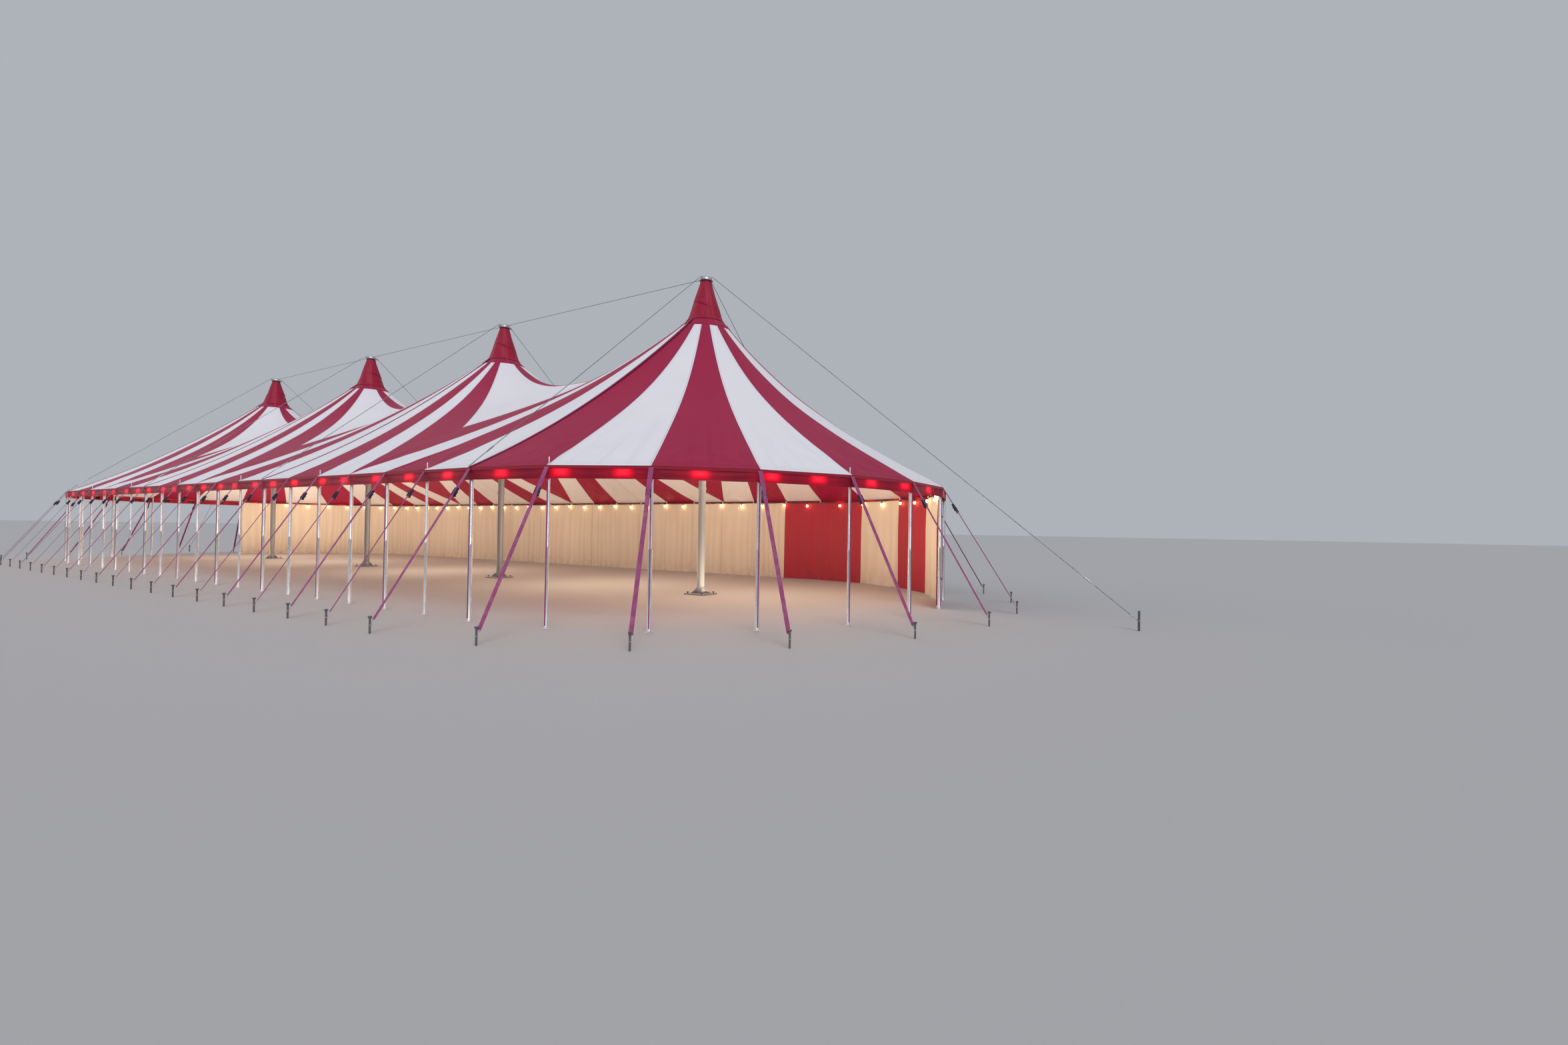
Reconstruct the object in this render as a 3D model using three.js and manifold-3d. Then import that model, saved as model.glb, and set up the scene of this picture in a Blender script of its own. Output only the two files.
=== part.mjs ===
// A four-pole circus big top: striped cloth roof with half-round ends, red cone caps on the king poles,
// a hanging valance, side poles with guy straps all round, wire stays, and sidewall cloth at the back.
// Millimetres, +Z up, origin on the ground at the middle of the tent, +X along the row of king poles.
import * as THREE from "three";
import { mergeVertices } from "three/addons/utils/BufferGeometryUtils.js";
import Module from "manifold-3d";

const wasm = await Module();
wasm.setup();

// Driving dimensions
const poleCount = 4;
const poleSpacing = 7060;
const halfWidth = 5500;
const endReach = 5200;
const eaveHeight = 2300;
const poleTop = 6890;
const baysPerSpan = 6;
const endGores = 11;
const fit = 0.4;
const cornerRoom = { valance: 2, cable: 12, belt: 3, sidewall: 14 };

// Roof cloth: its upper edge lies on a ring round each king pole
const cloth = { drop: 14, ringRadius: 470, ringHeight: 5900, lip: 30, firstStep: 130, steps: 6 };
const slopes = { ring: 0.895, eave: 0.5 };
const endSag = { ring: 0.325, eave: 0.05, blend: 7 };
const ridge = { saddleHeight: 5000, rounding: 0.1 };
const valleyStops = [4450, 3400, 2400, 1400, 600, 0];

const kingPole = { radius: 80, sides: 20, plate: 520, plateThickness: 24 };
const baleRing = { inner: 440, outer: 480, height: 40, spoke: 26, facetRoom: 2.2, sides: 24 };
const collar = { radius: 112, height: 60 };
const head = { neck: 95, dome: 130, shoulder: 118, crown: 84, domeRise: 78, shoulderRise: 50 };
const lug = { reach: 165, height: 50, thickness: 16, room: 12 };
const flange = { radius: 150, inner: 99, thickness: 18, sides: 16 };
const cap = { thickness: 8, topRadius: 120, neckRadius: 360, neckHeight: 6100, lift: 3, sides: 32 };
const hem = { radius: 560, slope: 0.855 };

const valance = { drop: 175, thickness: 8 };
const sidePole = { inset: 45, radius: 28, thinRadius: 20, sides: 8, spanSeat: 8.4, endSeat: 8.9 };
const eaveCable = { width: 14, height: 14, top: 2270 };
const belt = { thickness: 5, height: 40, top: 2294 };
const strap = { wide: 80, narrow: 36, thickness: 6, reach: 1350, foot: 110 };
const stake = { radius: 14, height: 230, sides: 5 };
const wire = { radius: 6, sides: 6, shackle: 24, shackleHeight: 40, footThickness: 9 };
const endStay = { reach: 8480, stakeSize: 36, stakeHeight: 300, foot: 150 };
const sidewall = { thickness: 8, bottom: 12, top: 2240 };

const halfSpan = poleSpacing / 2;
const bay = poleSpacing / baysPerSpan;
const firstPole = (-(poleCount - 1) * poleSpacing) / 2;
const lugLevel = poleTop + fit + flange.thickness + lug.room + lug.height / 2;
const up = new THREE.Vector3(0, 0, 1);

const materials = {
  redCloth: { color: 0x8f1f33, roughness: 0.62, metalness: 0 },
  stripedCloth: { color: 0xcfc8cf, roughness: 0.6, metalness: 0 },
  wallCloth: { color: 0xd9cdb8, roughness: 0.8, metalness: 0 },
  webbing: { color: 0x8a2f52, roughness: 0.85, metalness: 0 },
  galvanised: { color: 0xa9adb0, roughness: 0.45, metalness: 0.8 },
  steel: { color: 0x6f757b, roughness: 0.5, metalness: 0.8 },
  wireRope: { color: 0x565c63, roughness: 0.55, metalness: 0.7 },
};

function meshOf(name, geometry, materialName) {
  const mesh = new THREE.Mesh(geometry, new THREE.MeshStandardMaterial(materials[materialName]));
  mesh.name = name;
  return mesh;
}

function groupAt(x, y, turn, ...children) {
  const group = new THREE.Group();
  group.position.set(x, y, 0);
  group.rotation.z = turn;
  group.add(...children);
  return group;
}

// Joining closed pieces into one solid
function solidOf(geometry) {
  const bare = geometry.clone();
  bare.deleteAttribute("normal");
  bare.deleteAttribute("uv");
  const merged = mergeVertices(bare, 1e-4);
  return new wasm.Manifold(new wasm.Mesh({
    numProp: 3,
    vertProperties: new Float32Array(merged.attributes.position.array),
    triVerts: new Uint32Array(merged.index.array),
  }));
}

function geometryOf(solid) {
  const { vertProperties, triVerts } = solid.getMesh();
  const geometry = new THREE.BufferGeometry();
  geometry.setAttribute("position", new THREE.BufferAttribute(vertProperties.slice(), 3));
  geometry.setIndex(new THREE.BufferAttribute(triVerts.slice(), 1));
  const flat = geometry.toNonIndexed();
  flat.computeVertexNormals();
  return flat;
}

function joined(pieces) {
  return geometryOf(pieces.map(solidOf).reduce((whole, piece) => whole.add(piece)));
}

// Straight pieces
function bar(start, end, width, thickness, across = up) {
  const along = end.clone().sub(start);
  const length = along.length();
  along.normalize();
  const wide = across.clone().addScaledVector(along, -across.dot(along)).normalize();
  const thin = new THREE.Vector3().crossVectors(along, wide);
  const middle = start.clone().add(end).multiplyScalar(0.5);
  const place = new THREE.Matrix4().makeBasis(wide, thin, along).setPosition(middle);
  return new THREE.BoxGeometry(width, thickness, length).applyMatrix4(place);
}

function rod(start, end, radius, sides) {
  const along = end.clone().sub(start);
  const direction = along.clone().normalize();
  const turn = new THREE.Quaternion().setFromUnitVectors(new THREE.Vector3(0, 1, 0), direction);
  const middle = start.clone().add(end).multiplyScalar(0.5);
  const place = new THREE.Matrix4().compose(middle, turn, new THREE.Vector3(1, 1, 1));
  return new THREE.CylinderGeometry(radius, radius, along.length(), sides).applyMatrix4(place);
}

function upright(x, y, bottom, top, radius, sides, turn = 0) {
  const geometry = new THREE.CylinderGeometry(radius, radius, top - bottom, sides).rotateX(Math.PI / 2);
  return geometry.rotateZ(Math.PI / 2 + turn).translate(x, y, (bottom + top) / 2);
}

function block(x, y, z, width, depth, height) {
  return new THREE.BoxGeometry(width, depth, height).translate(x, y, z);
}

function turned(profile, segments) {
  const outline = profile.map(([radius, z]) => new THREE.Vector2(radius, z));
  outline.push(outline[0].clone());
  return new THREE.LatheGeometry(outline, segments).rotateX(Math.PI / 2);
}

// Plan lines round the tent. A line runs with the tent on its left-hand side, so a positive inset is inwards.
function insetLine(line, inset) {
  return line.map((point, i) => {
    const before = line[Math.max(i - 1, 0)];
    const after = line[Math.min(i + 1, line.length - 1)];
    const inward = (a, b) => new THREE.Vector2(a.y - b.y, b.x - a.x).normalize();
    const first = i > 0 ? inward(before, point) : inward(point, after);
    const second = i < line.length - 1 ? inward(point, after) : first;
    const mitre = first.clone().add(second).normalize();
    return point.clone().addScaledVector(mitre, inset / mitre.dot(first));
  });
}

function band(line, inset, thickness, bottom, top) {
  const outer = insetLine(line, inset);
  const inner = insetLine(line, inset + thickness);
  const shape = new THREE.Shape([...outer, ...inner.reverse()]);
  const geometry = new THREE.ExtrudeGeometry(shape, { depth: top - bottom, bevelEnabled: false });
  return geometry.translate(0, 0, bottom);
}

// The front eave of one span, cut short at both ends, and the eave of a half-round end about its king pole
function spanLine(cut) {
  return [new THREE.Vector2(cut - halfSpan, -halfWidth), new THREE.Vector2(halfSpan - cut, -halfWidth)];
}

function endPoint(step) {
  const angle = -Math.PI / 2 + (step * Math.PI) / endGores;
  return new THREE.Vector2(endReach * Math.cos(angle), halfWidth * Math.sin(angle));
}

function endLine(from, to, cut) {
  const line = [];
  for (let step = from; step <= to; step += 1) {
    line.push(endPoint(step));
  }
  const bayLength = line[0].distanceTo(line[1]);
  if (from === 0) {
    line[0].lerp(line[1], cut / bayLength);
  }
  if (to === endGores) {
    line[line.length - 1].lerp(line[line.length - 2], cut / bayLength);
  }
  return line;
}

// Roof cloth. Rays run from the ring round a king pole to stops on the eave or the valley between poles.
function valleyHeight(y) {
  const round = (v) => Math.hypot(v, ridge.rounding) - ridge.rounding;
  const fall = round(Math.abs(y) / halfWidth) / round(1);
  return ridge.saddleHeight - (ridge.saddleHeight - eaveHeight) * fall;
}

function valleySlope(y) {
  const v = Math.abs(y) / halfWidth;
  const steepest = (ridge.saddleHeight - eaveHeight) / (Math.hypot(1, ridge.rounding) - ridge.rounding);
  return (steepest * v) / Math.hypot(v, ridge.rounding) / halfWidth;
}

// A stop knows how steeply its ray comes down to it, from the fall square to the eave or along the valley
function stopAt(x, y, z, fall, normal, start = slopes.ring) {
  const outwards = new THREE.Vector2(x, y).normalize();
  return { place: new THREE.Vector3(x, y, z), slope: fall * outwards.dot(normal), start };
}

// The cloth bends evenly from its slope at the start of the ray to the slope at its stop
function rayPoint({ place, slope, start }, radius) {
  const direction = Math.atan2(place.y, place.x);
  const run = Math.hypot(place.x, place.y) - cloth.ringRadius;
  const t = (radius - cloth.ringRadius) / run;
  const height = cloth.ringHeight + (place.z - cloth.ringHeight) * t * t * (3 - 2 * t);
  const bend = run * t * (1 - t) * (slope * t - start * (1 - t));
  return new THREE.Vector3(radius * Math.cos(direction), radius * Math.sin(direction), height + bend);
}

// Over the ring itself the cloth lies at one slope all round
function lipPoint({ place }, width) {
  const direction = Math.atan2(place.y, place.x);
  const radius = cloth.ringRadius + width;
  const height = cloth.ringHeight - width * slopes.ring;
  return new THREE.Vector3(radius * Math.cos(direction), radius * Math.sin(direction), height);
}

function rayGrid(stops) {
  return stops.map((stop) => {
    const start = cloth.ringRadius + cloth.firstStep;
    const run = Math.hypot(stop.place.x, stop.place.y) - start;
    const row = [lipPoint(stop, 0), lipPoint(stop, cloth.lip)];
    for (let j = 0; j < cloth.steps; j += 1) {
      row.push(rayPoint(stop, start + (run * j) / cloth.steps));
    }
    row.push(stop.place.clone());
    return row;
  });
}

// A cloth sheet from grids of points: each grid's rows turn anticlockwise, and shared edges are merged
function clothSheet(grids, drop) {
  const index = new Map();
  const points = [];
  const indexOf = (point) => {
    const key = [point.x, point.y, point.z].map((v) => v.toFixed(2)).join();
    if (!index.has(key)) {
      index.set(key, points.length);
      points.push(point);
    }
    return index.get(key);
  };
  const faces = [];
  for (const rows of grids) {
    for (let i = 0; i + 1 < rows.length; i += 1) {
      for (let j = 0; j + 1 < rows[i].length; j += 1) {
        const corners = [rows[i][j], rows[i][j + 1], rows[i + 1][j + 1], rows[i + 1][j]].map(indexOf);
        faces.push([corners[0], corners[1], corners[2]], [corners[0], corners[2], corners[3]]);
      }
    }
  }
  const edges = new Set(faces.flatMap(([a, b, c]) => [`${a},${b}`, `${b},${c}`, `${c},${a}`]));
  const under = points.length;
  const triangles = [...faces];
  for (const [a, b, c] of faces) {
    triangles.push([a + under, c + under, b + under]);
  }
  for (const edge of edges) {
    const [a, b] = edge.split(",").map(Number);
    if (!edges.has(`${b},${a}`)) {
      triangles.push([b, a, a + under], [b, a + under, b + under]);
    }
  }
  const geometry = new THREE.BufferGeometry();
  const below = points.map((point) => new THREE.Vector3(point.x, point.y, point.z - drop));
  geometry.setFromPoints([...points, ...below]);
  geometry.setIndex(triangles.flat());
  const flat = geometry.toNonIndexed();
  flat.computeVertexNormals();
  return flat;
}

// A round end hangs lower than the spans, except along its laced edges
function endCanopy() {
  const stops = [];
  for (let step = 0; step <= endGores; step += 0.5) {
    const low = endPoint(Math.floor(step));
    const high = endPoint(Math.ceil(step));
    const point = low.add(high).multiplyScalar(0.5);
    const normal = new THREE.Vector2(point.x / endReach ** 2, point.y / halfWidth ** 2).normalize();
    const sag = 1 - Math.abs(Math.atan2(point.y, point.x) / (Math.PI / 2)) ** endSag.blend;
    const fall = slopes.eave + endSag.eave * sag;
    stops.push(stopAt(point.x, point.y, eaveHeight, fall, normal, slopes.ring + endSag.ring * sag));
  }
  const rows = rayGrid(stops);
  for (const row of [rows[0], rows[rows.length - 1]]) {
    row.forEach((point) => point.setX(fit / 2));
  }
  return clothSheet([rows], cloth.drop);
}

function spanCanopy() {
  const front = new THREE.Vector2(0, -1);
  const stops = [];
  for (let step = 0; step <= baysPerSpan; step += 1) {
    const share = step / baysPerSpan;
    const fall = slopes.eave + (valleySlope(halfWidth) - slopes.eave) * share * share;
    stops.push(stopAt(share * halfSpan, -halfWidth, eaveHeight, fall, front));
  }
  for (const y of valleyStops) {
    stops.push(stopAt(halfSpan, -y, valleyHeight(y), valleySlope(y), front));
  }
  const back = stops.slice(0, -1).reverse().map(({ place, ...rest }) => (
    { place: new THREE.Vector3(place.x, -place.y, place.z), ...rest }
  ));
  const squeeze = (halfSpan - fit / 2) / halfSpan;
  const left = rayGrid([...stops, ...back]);
  left.flat().forEach((point) => point.setX((point.x - halfSpan) * squeeze));
  const mirrored = (point) => new THREE.Vector3(-point.x, point.y, point.z);
  const right = left.map((row) => row.map(mirrored)).reverse();
  return clothSheet([left, right], cloth.drop);
}

// One king pole with its foot plate and the ring that carries the roof cloth
function kingPoleGeometry() {
  const lipFall = (baleRing.outer - cloth.ringRadius) * slopes.ring;
  const top = cloth.ringHeight - lipFall - cloth.drop - fit - baleRing.facetRoom;
  const ring = turned([
    [baleRing.inner, top - baleRing.height],
    [baleRing.outer, top - baleRing.height],
    [baleRing.outer, top],
    [baleRing.inner, top],
  ], baleRing.sides);
  const level = top - baleRing.height / 2;
  const spokeEnd = (baleRing.inner + baleRing.outer) / 2;
  const spokes = [0, 1, 2, 3].map((i) => {
    const angle = Math.PI / 4 + (i * Math.PI) / 2;
    const out = new THREE.Vector3(Math.cos(angle), Math.sin(angle), 0);
    const start = out.clone().multiplyScalar(kingPole.radius / 2).setZ(level);
    const end = out.clone().multiplyScalar(spokeEnd).setZ(level);
    return bar(start, end, baleRing.spoke, baleRing.spoke);
  });
  return joined([
    block(0, 0, kingPole.plateThickness / 2, kingPole.plate, kingPole.plate, kingPole.plateThickness),
    upright(0, 0, kingPole.plateThickness / 2, poleTop, kingPole.radius, kingPole.sides),
    upright(0, 0, level - collar.height / 2, level + collar.height / 2, collar.radius, kingPole.sides),
    ...spokes,
    ring,
  ]);
}

// The domed head traps the ring of the side stays, and its crossed lugs carry the wires
function headGeometry() {
  const bottom = poleTop + fit;
  const brim = bottom + flange.thickness + fit;
  const dome = turned([
    [0, bottom],
    [head.neck, bottom],
    [head.neck, brim],
    [head.dome, brim],
    [head.shoulder, brim + head.shoulderRise],
    [head.crown, brim + head.domeRise],
    [0, brim + head.domeRise],
  ], kingPole.sides);
  return joined([
    dome,
    block(0, 0, lugLevel, 2 * lug.reach, lug.thickness, lug.height),
    block(0, 0, lugLevel, lug.thickness, 2 * lug.reach, lug.height),
  ]);
}

// The red cone cap over the gap between the cloth and the pole head, a thin shell open below and above
function capGeometry() {
  const inner = [
    [cap.topRadius, poleTop],
    [cap.neckRadius, cap.neckHeight],
    [cloth.ringRadius, cloth.ringHeight + cap.lift],
    [hem.radius, cloth.ringHeight - (hem.radius - cloth.ringRadius) * hem.slope + cap.lift],
  ];
  const outer = inner.map(([radius, z], i) => [radius + cap.thickness, i === 0 ? z : z + cap.thickness]);
  return turned([...inner, ...outer.reverse()], cap.sides);
}

// Cloth that hangs from the eave: the red valance outside the side poles, and the sidewall inside them
function valanceGeometry(line) {
  const top = eaveHeight - cloth.drop - fit;
  return band(line, 0, valance.thickness, top - valance.drop, top);
}

function sidewallGeometry(line) {
  const inset = sidePole.inset + sidePole.radius + fit;
  return band(line, inset, sidewall.thickness, sidewall.bottom, sidewall.top);
}

// Where the side poles stand: each has its place on the eave line and a direction that faces out of the tent
function spanStations(first, last) {
  const stations = [];
  for (let step = first; step <= last; step += 1) {
    const place = new THREE.Vector2(halfSpan - step * bay, -halfWidth);
    const out = new THREE.Vector2(0, -1);
    stations.push({ place, out, mitre: 1, main: step % 2 === 0, thin: step % 3 === 1 });
  }
  return stations;
}

function endStations() {
  const stations = [];
  for (let step = 1; step < endGores; step += 1) {
    const before = endPoint(step).sub(endPoint(step - 1)).normalize();
    const after = endPoint(step + 1).sub(endPoint(step)).normalize();
    const chord = before.clone().add(after).normalize();
    const out = new THREE.Vector2(chord.y, -chord.x);
    const mitre = 1 / chord.dot(before);
    stations.push({ place: endPoint(step), out, mitre, main: true, thin: step % 3 === 1 });
  }
  return stations;
}

// Side poles, tied together by the cable that runs through their heads
function sidePoles(stations, line, seat) {
  const top = eaveHeight - cloth.drop + seat;
  const poles = stations.map(({ place, out, mitre, thin }) => {
    const foot = place.clone().addScaledVector(out, -sidePole.inset * mitre);
    const radius = thin ? sidePole.thinRadius : sidePole.radius;
    return upright(foot.x, foot.y, 0, top, radius, sidePole.sides, out.angle());
  });
  const inset = sidePole.inset - eaveCable.width / 2;
  const cable = band(line, inset, eaveCable.width, eaveCable.top - eaveCable.height, eaveCable.top);
  return joined([cable, ...poles]);
}

// Guy straps hang from a belt round the top of the valance, and each ends on a stake
function guyStraps(stations, line) {
  const pieces = [band(line, -fit - belt.thickness, belt.thickness, belt.top - belt.height, belt.top)];
  for (const { place, out, main } of stations) {
    const outwards = new THREE.Vector3(out.x, out.y, 0);
    const start = new THREE.Vector3(place.x, place.y, belt.top - belt.height / 2);
    start.addScaledVector(outwards, fit + belt.thickness);
    const foot = new THREE.Vector3(place.x, place.y, strap.foot).addScaledVector(outwards, strap.reach);
    const across = new THREE.Vector3(-out.y, out.x, 0);
    pieces.push(bar(start, foot, main ? strap.wide : strap.narrow, strap.thickness, across));
    pieces.push(upright(foot.x, foot.y, 0, stake.height, stake.radius, stake.sides, 0));
  }
  return joined(pieces);
}

// Wire stays. A shackle block at each end meets the lug, the belt or the stake.
function shackleBlock(x, y, z) {
  return block(x, y, z, wire.shackle, wire.shackle, wire.shackleHeight);
}

function sideStays() {
  const base = poleTop + fit;
  const reach = lug.reach + fit + wire.shackle / 2;
  const pieces = [turned([
    [flange.inner, base],
    [flange.radius, base],
    [flange.radius, base + flange.thickness],
    [flange.inner, base + flange.thickness],
  ], flange.sides)];
  const height = lugLevel + wire.shackleHeight / 2 - base;
  const armMiddle = (flange.radius + reach) / 2;
  const armLength = reach - flange.radius + wire.shackle / 2;
  const armLevel = base + flange.thickness / 2;
  const footReach = halfWidth + fit + wire.footThickness / 2;
  const footLevel = belt.top + fit + wire.shackleHeight / 2;
  for (const side of [-1, 1]) {
    pieces.push(block(0, side * reach, base + height / 2, wire.shackle, wire.shackle, height));
    pieces.push(block(0, side * armMiddle, armLevel, wire.shackle, armLength, flange.thickness));
    pieces.push(block(0, side * footReach, footLevel, wire.shackle, wire.footThickness, wire.shackleHeight));
    const top = new THREE.Vector3(0, side * reach, lugLevel);
    pieces.push(rod(top, new THREE.Vector3(0, side * footReach, footLevel), wire.radius, wire.sides));
  }
  return joined(pieces);
}

function ridgeTie() {
  const reach = halfSpan - lug.reach - fit - wire.shackle / 2;
  const ends = [-reach, reach].map((x) => new THREE.Vector3(x, 0, lugLevel));
  const shackles = ends.map((end) => shackleBlock(end.x, 0, lugLevel));
  return joined([...shackles, rod(...ends, wire.radius, wire.sides)]);
}

function endStayGeometry() {
  const top = new THREE.Vector3(lug.reach + fit + wire.shackle / 2, 0, lugLevel);
  const foot = new THREE.Vector3(endStay.reach, 0, endStay.foot);
  return joined([
    shackleBlock(top.x, 0, lugLevel),
    rod(top, foot, wire.radius, wire.sides),
    block(foot.x, 0, endStay.stakeHeight / 2, endStay.stakeSize, endStay.stakeSize, endStay.stakeHeight),
  ]);
}

// The tent, laid out from the left-hand king pole to the right-hand one
const tent = new THREE.Group();

for (let i = 0; i < poleCount; i += 1) {
  tent.add(groupAt(firstPole + i * poleSpacing, 0, 0,
    meshOf(`king_pole_${i + 1}`, kingPoleGeometry(), "steel"),
    meshOf(`pole_head_${i + 1}`, headGeometry(), "galvanised"),
    meshOf(`cone_cap_${i + 1}`, capGeometry(), "redCloth"),
    meshOf(`side_stays_${i + 1}`, sideStays(), "wireRope"),
  ));
}

const spanNames = ["left", "middle", "right"];
spanNames.forEach((name, i) => {
  const x = firstPole + (i + 0.5) * poleSpacing;
  const outer = name !== "middle";
  const stations = outer ? spanStations(0, baysPerSpan) : spanStations(1, baysPerSpan - 1);
  const cableCut = outer ? 0 : sidePole.radius + fit;
  const beltCut = outer ? 0 : strap.wide / 2 + fit;
  const cableLine = spanLine(cableCut);
  const beltLine = spanLine(beltCut);
  tent.add(groupAt(x, 0, 0,
    meshOf(`canopy_${name}`, spanCanopy(), "stripedCloth"),
    meshOf(`ridge_tie_${name}`, ridgeTie(), "wireRope"),
    meshOf(`side_poles_front_${name}`, sidePoles(stations, cableLine, sidePole.spanSeat), "galvanised"),
    meshOf(`guy_straps_front_${name}`, guyStraps(stations, beltLine), "webbing"),
  ));
  tent.add(groupAt(x, 0, Math.PI,
    meshOf(`side_poles_back_${name}`, sidePoles(stations, cableLine, sidePole.spanSeat), "galvanised"),
    meshOf(`guy_straps_back_${name}`, guyStraps(stations, beltLine), "webbing"),
    meshOf(`sidewall_back_${name}`, sidewallGeometry(spanLine(fit / 2)), "wallCloth"),
  ));
});

const longLine = [firstPole + fit / 2, -firstPole - fit / 2].map((x) => new THREE.Vector2(x, -halfWidth));
tent.add(meshOf("valance_front", valanceGeometry(longLine), "redCloth"));
tent.add(groupAt(0, 0, Math.PI, meshOf("valance_back", valanceGeometry(longLine), "redCloth")));

// The left end is the right end turned round, with its sidewall still at the back of the tent
const ends = [
  { name: "right", x: -firstPole, turn: 0, wallFrom: 6, wallTo: 11 },
  { name: "left", x: firstPole, turn: Math.PI, wallFrom: 0, wallTo: 5 },
];
for (const { name, x, turn, wallFrom, wallTo } of ends) {
  const valanceLine = endLine(0, endGores, cornerRoom.valance);
  const cableLine = endLine(0, endGores, sidePole.radius + cornerRoom.cable);
  const beltLine = endLine(0, endGores, strap.wide / 2 + cornerRoom.belt);
  const wallLine = endLine(wallFrom, wallTo, cornerRoom.sidewall);
  tent.add(groupAt(x, 0, turn,
    meshOf(`canopy_${name}_end`, endCanopy(), "stripedCloth"),
    meshOf(`valance_${name}_end`, valanceGeometry(valanceLine), "redCloth"),
    meshOf(`side_poles_${name}_end`, sidePoles(endStations(), cableLine, sidePole.endSeat), "galvanised"),
    meshOf(`guy_straps_${name}_end`, guyStraps(endStations(), beltLine), "webbing"),
    meshOf(`sidewall_${name}_end`, sidewallGeometry(wallLine), "wallCloth"),
    meshOf(`end_stay_${name}`, endStayGeometry(), "wireRope"),
  ));
}

export default tent;
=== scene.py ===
# A four-pole circus big top, dressed over its solids: striped roof cloth, cone caps, valance, sidewalls,
# side poles, guy straps, wires and lamps. Metres, +Z up, +X along the row of king poles.
import math

import bmesh
import bpy
import numpy as np
from mathutils import Matrix, Vector


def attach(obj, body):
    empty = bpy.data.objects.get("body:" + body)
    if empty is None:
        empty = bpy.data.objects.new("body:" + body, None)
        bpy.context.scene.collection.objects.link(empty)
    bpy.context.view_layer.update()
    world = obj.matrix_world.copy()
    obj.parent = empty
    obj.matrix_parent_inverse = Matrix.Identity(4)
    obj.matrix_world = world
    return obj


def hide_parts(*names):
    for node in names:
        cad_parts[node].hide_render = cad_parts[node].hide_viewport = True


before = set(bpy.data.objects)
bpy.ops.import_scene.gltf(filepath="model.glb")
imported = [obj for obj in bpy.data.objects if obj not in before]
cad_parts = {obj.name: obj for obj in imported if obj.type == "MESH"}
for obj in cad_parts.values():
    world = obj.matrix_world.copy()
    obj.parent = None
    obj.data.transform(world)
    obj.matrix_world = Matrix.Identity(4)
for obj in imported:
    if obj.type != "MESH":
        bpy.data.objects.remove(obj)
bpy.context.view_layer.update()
print("frame loaded:", len(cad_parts), "nodes")

tent = {
    "poles": [-10.59, -3.53, 3.53, 10.59],
    "spans": {"left": -7.06, "middle": 0.0, "right": 7.06},
    "spacing": 7.06,
    "halfWidth": 5.5,
    "endReach": 5.2,
    "eave": 2.3,
    "bays": 6,
    "endGores": 11,
    "poleTop": 6.89,
    "wireLevel": 6.9454,
    "cableLevel": 2.2635,
    "clothGap": 0.0002,
}
halfSpan = tent["spacing"] / 2
bay = tent["spacing"] / tent["bays"]
halfWidth = tent["halfWidth"]
endGores = tent["endGores"]
lastPole = tent["poles"][-1]
sideBays = 3 * tent["bays"]


# The camera stands where the photograph was taken.
view = {"place": (19.71, -11.37, 1.449), "yaw": 121.62, "pitch": 0.61, "roll": 0.94, "lens": 15.12}


def setCamera():
    yaw, pitch, roll = (math.radians(view[key]) for key in ("yaw", "pitch", "roll"))
    ahead = Vector((math.cos(yaw) * math.cos(pitch), math.sin(yaw) * math.cos(pitch), math.sin(pitch)))
    side = ahead.cross(Vector((0, 0, 1))).normalized()
    top = side.cross(ahead)
    right = math.cos(roll) * side + math.sin(roll) * top
    upward = math.cos(roll) * top - math.sin(roll) * side
    data = bpy.data.cameras.new("photoCamera")
    data.lens = view["lens"]
    data.sensor_width = 36
    data.clip_end = 900
    camera = bpy.data.objects.new("photoCamera", data)
    turn = Matrix((right, upward, -ahead)).transposed().to_4x4()
    camera.matrix_world = Matrix.Translation(view["place"]) @ turn
    bpy.context.collection.objects.link(camera)
    bpy.context.scene.camera = camera


setCamera()
print("camera set")


# Materials
class Wire:  # one socket of a material, which takes part in sums
    def __init__(self, paint, socket):
        self.paint = paint
        self.socket = socket

    def work(self, operation, *values):
        return self.paint.add("ShaderNodeMath", {"operation": operation}, dict(enumerate(values)))

    def __add__(self, other):
        return self.work("ADD", self, other)

    def __sub__(self, other):
        return self.work("SUBTRACT", self, other)

    def __rsub__(self, other):
        return self.work("SUBTRACT", other, self)

    def __mul__(self, other):
        return self.work("MULTIPLY", self, other)

    def __truediv__(self, other):
        return self.work("DIVIDE", self, other)

    def __pow__(self, other):
        return self.work("POWER", self, other)

    def __gt__(self, other):
        return self.work("GREATER_THAN", self, other)

    def __abs__(self):
        return self.work("ABSOLUTE", self)

    __radd__ = __add__
    __rmul__ = __mul__

    def fraction(self):
        return self.work("FRACT", self)

    def sine(self):
        return self.work("SINE", self)


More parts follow.
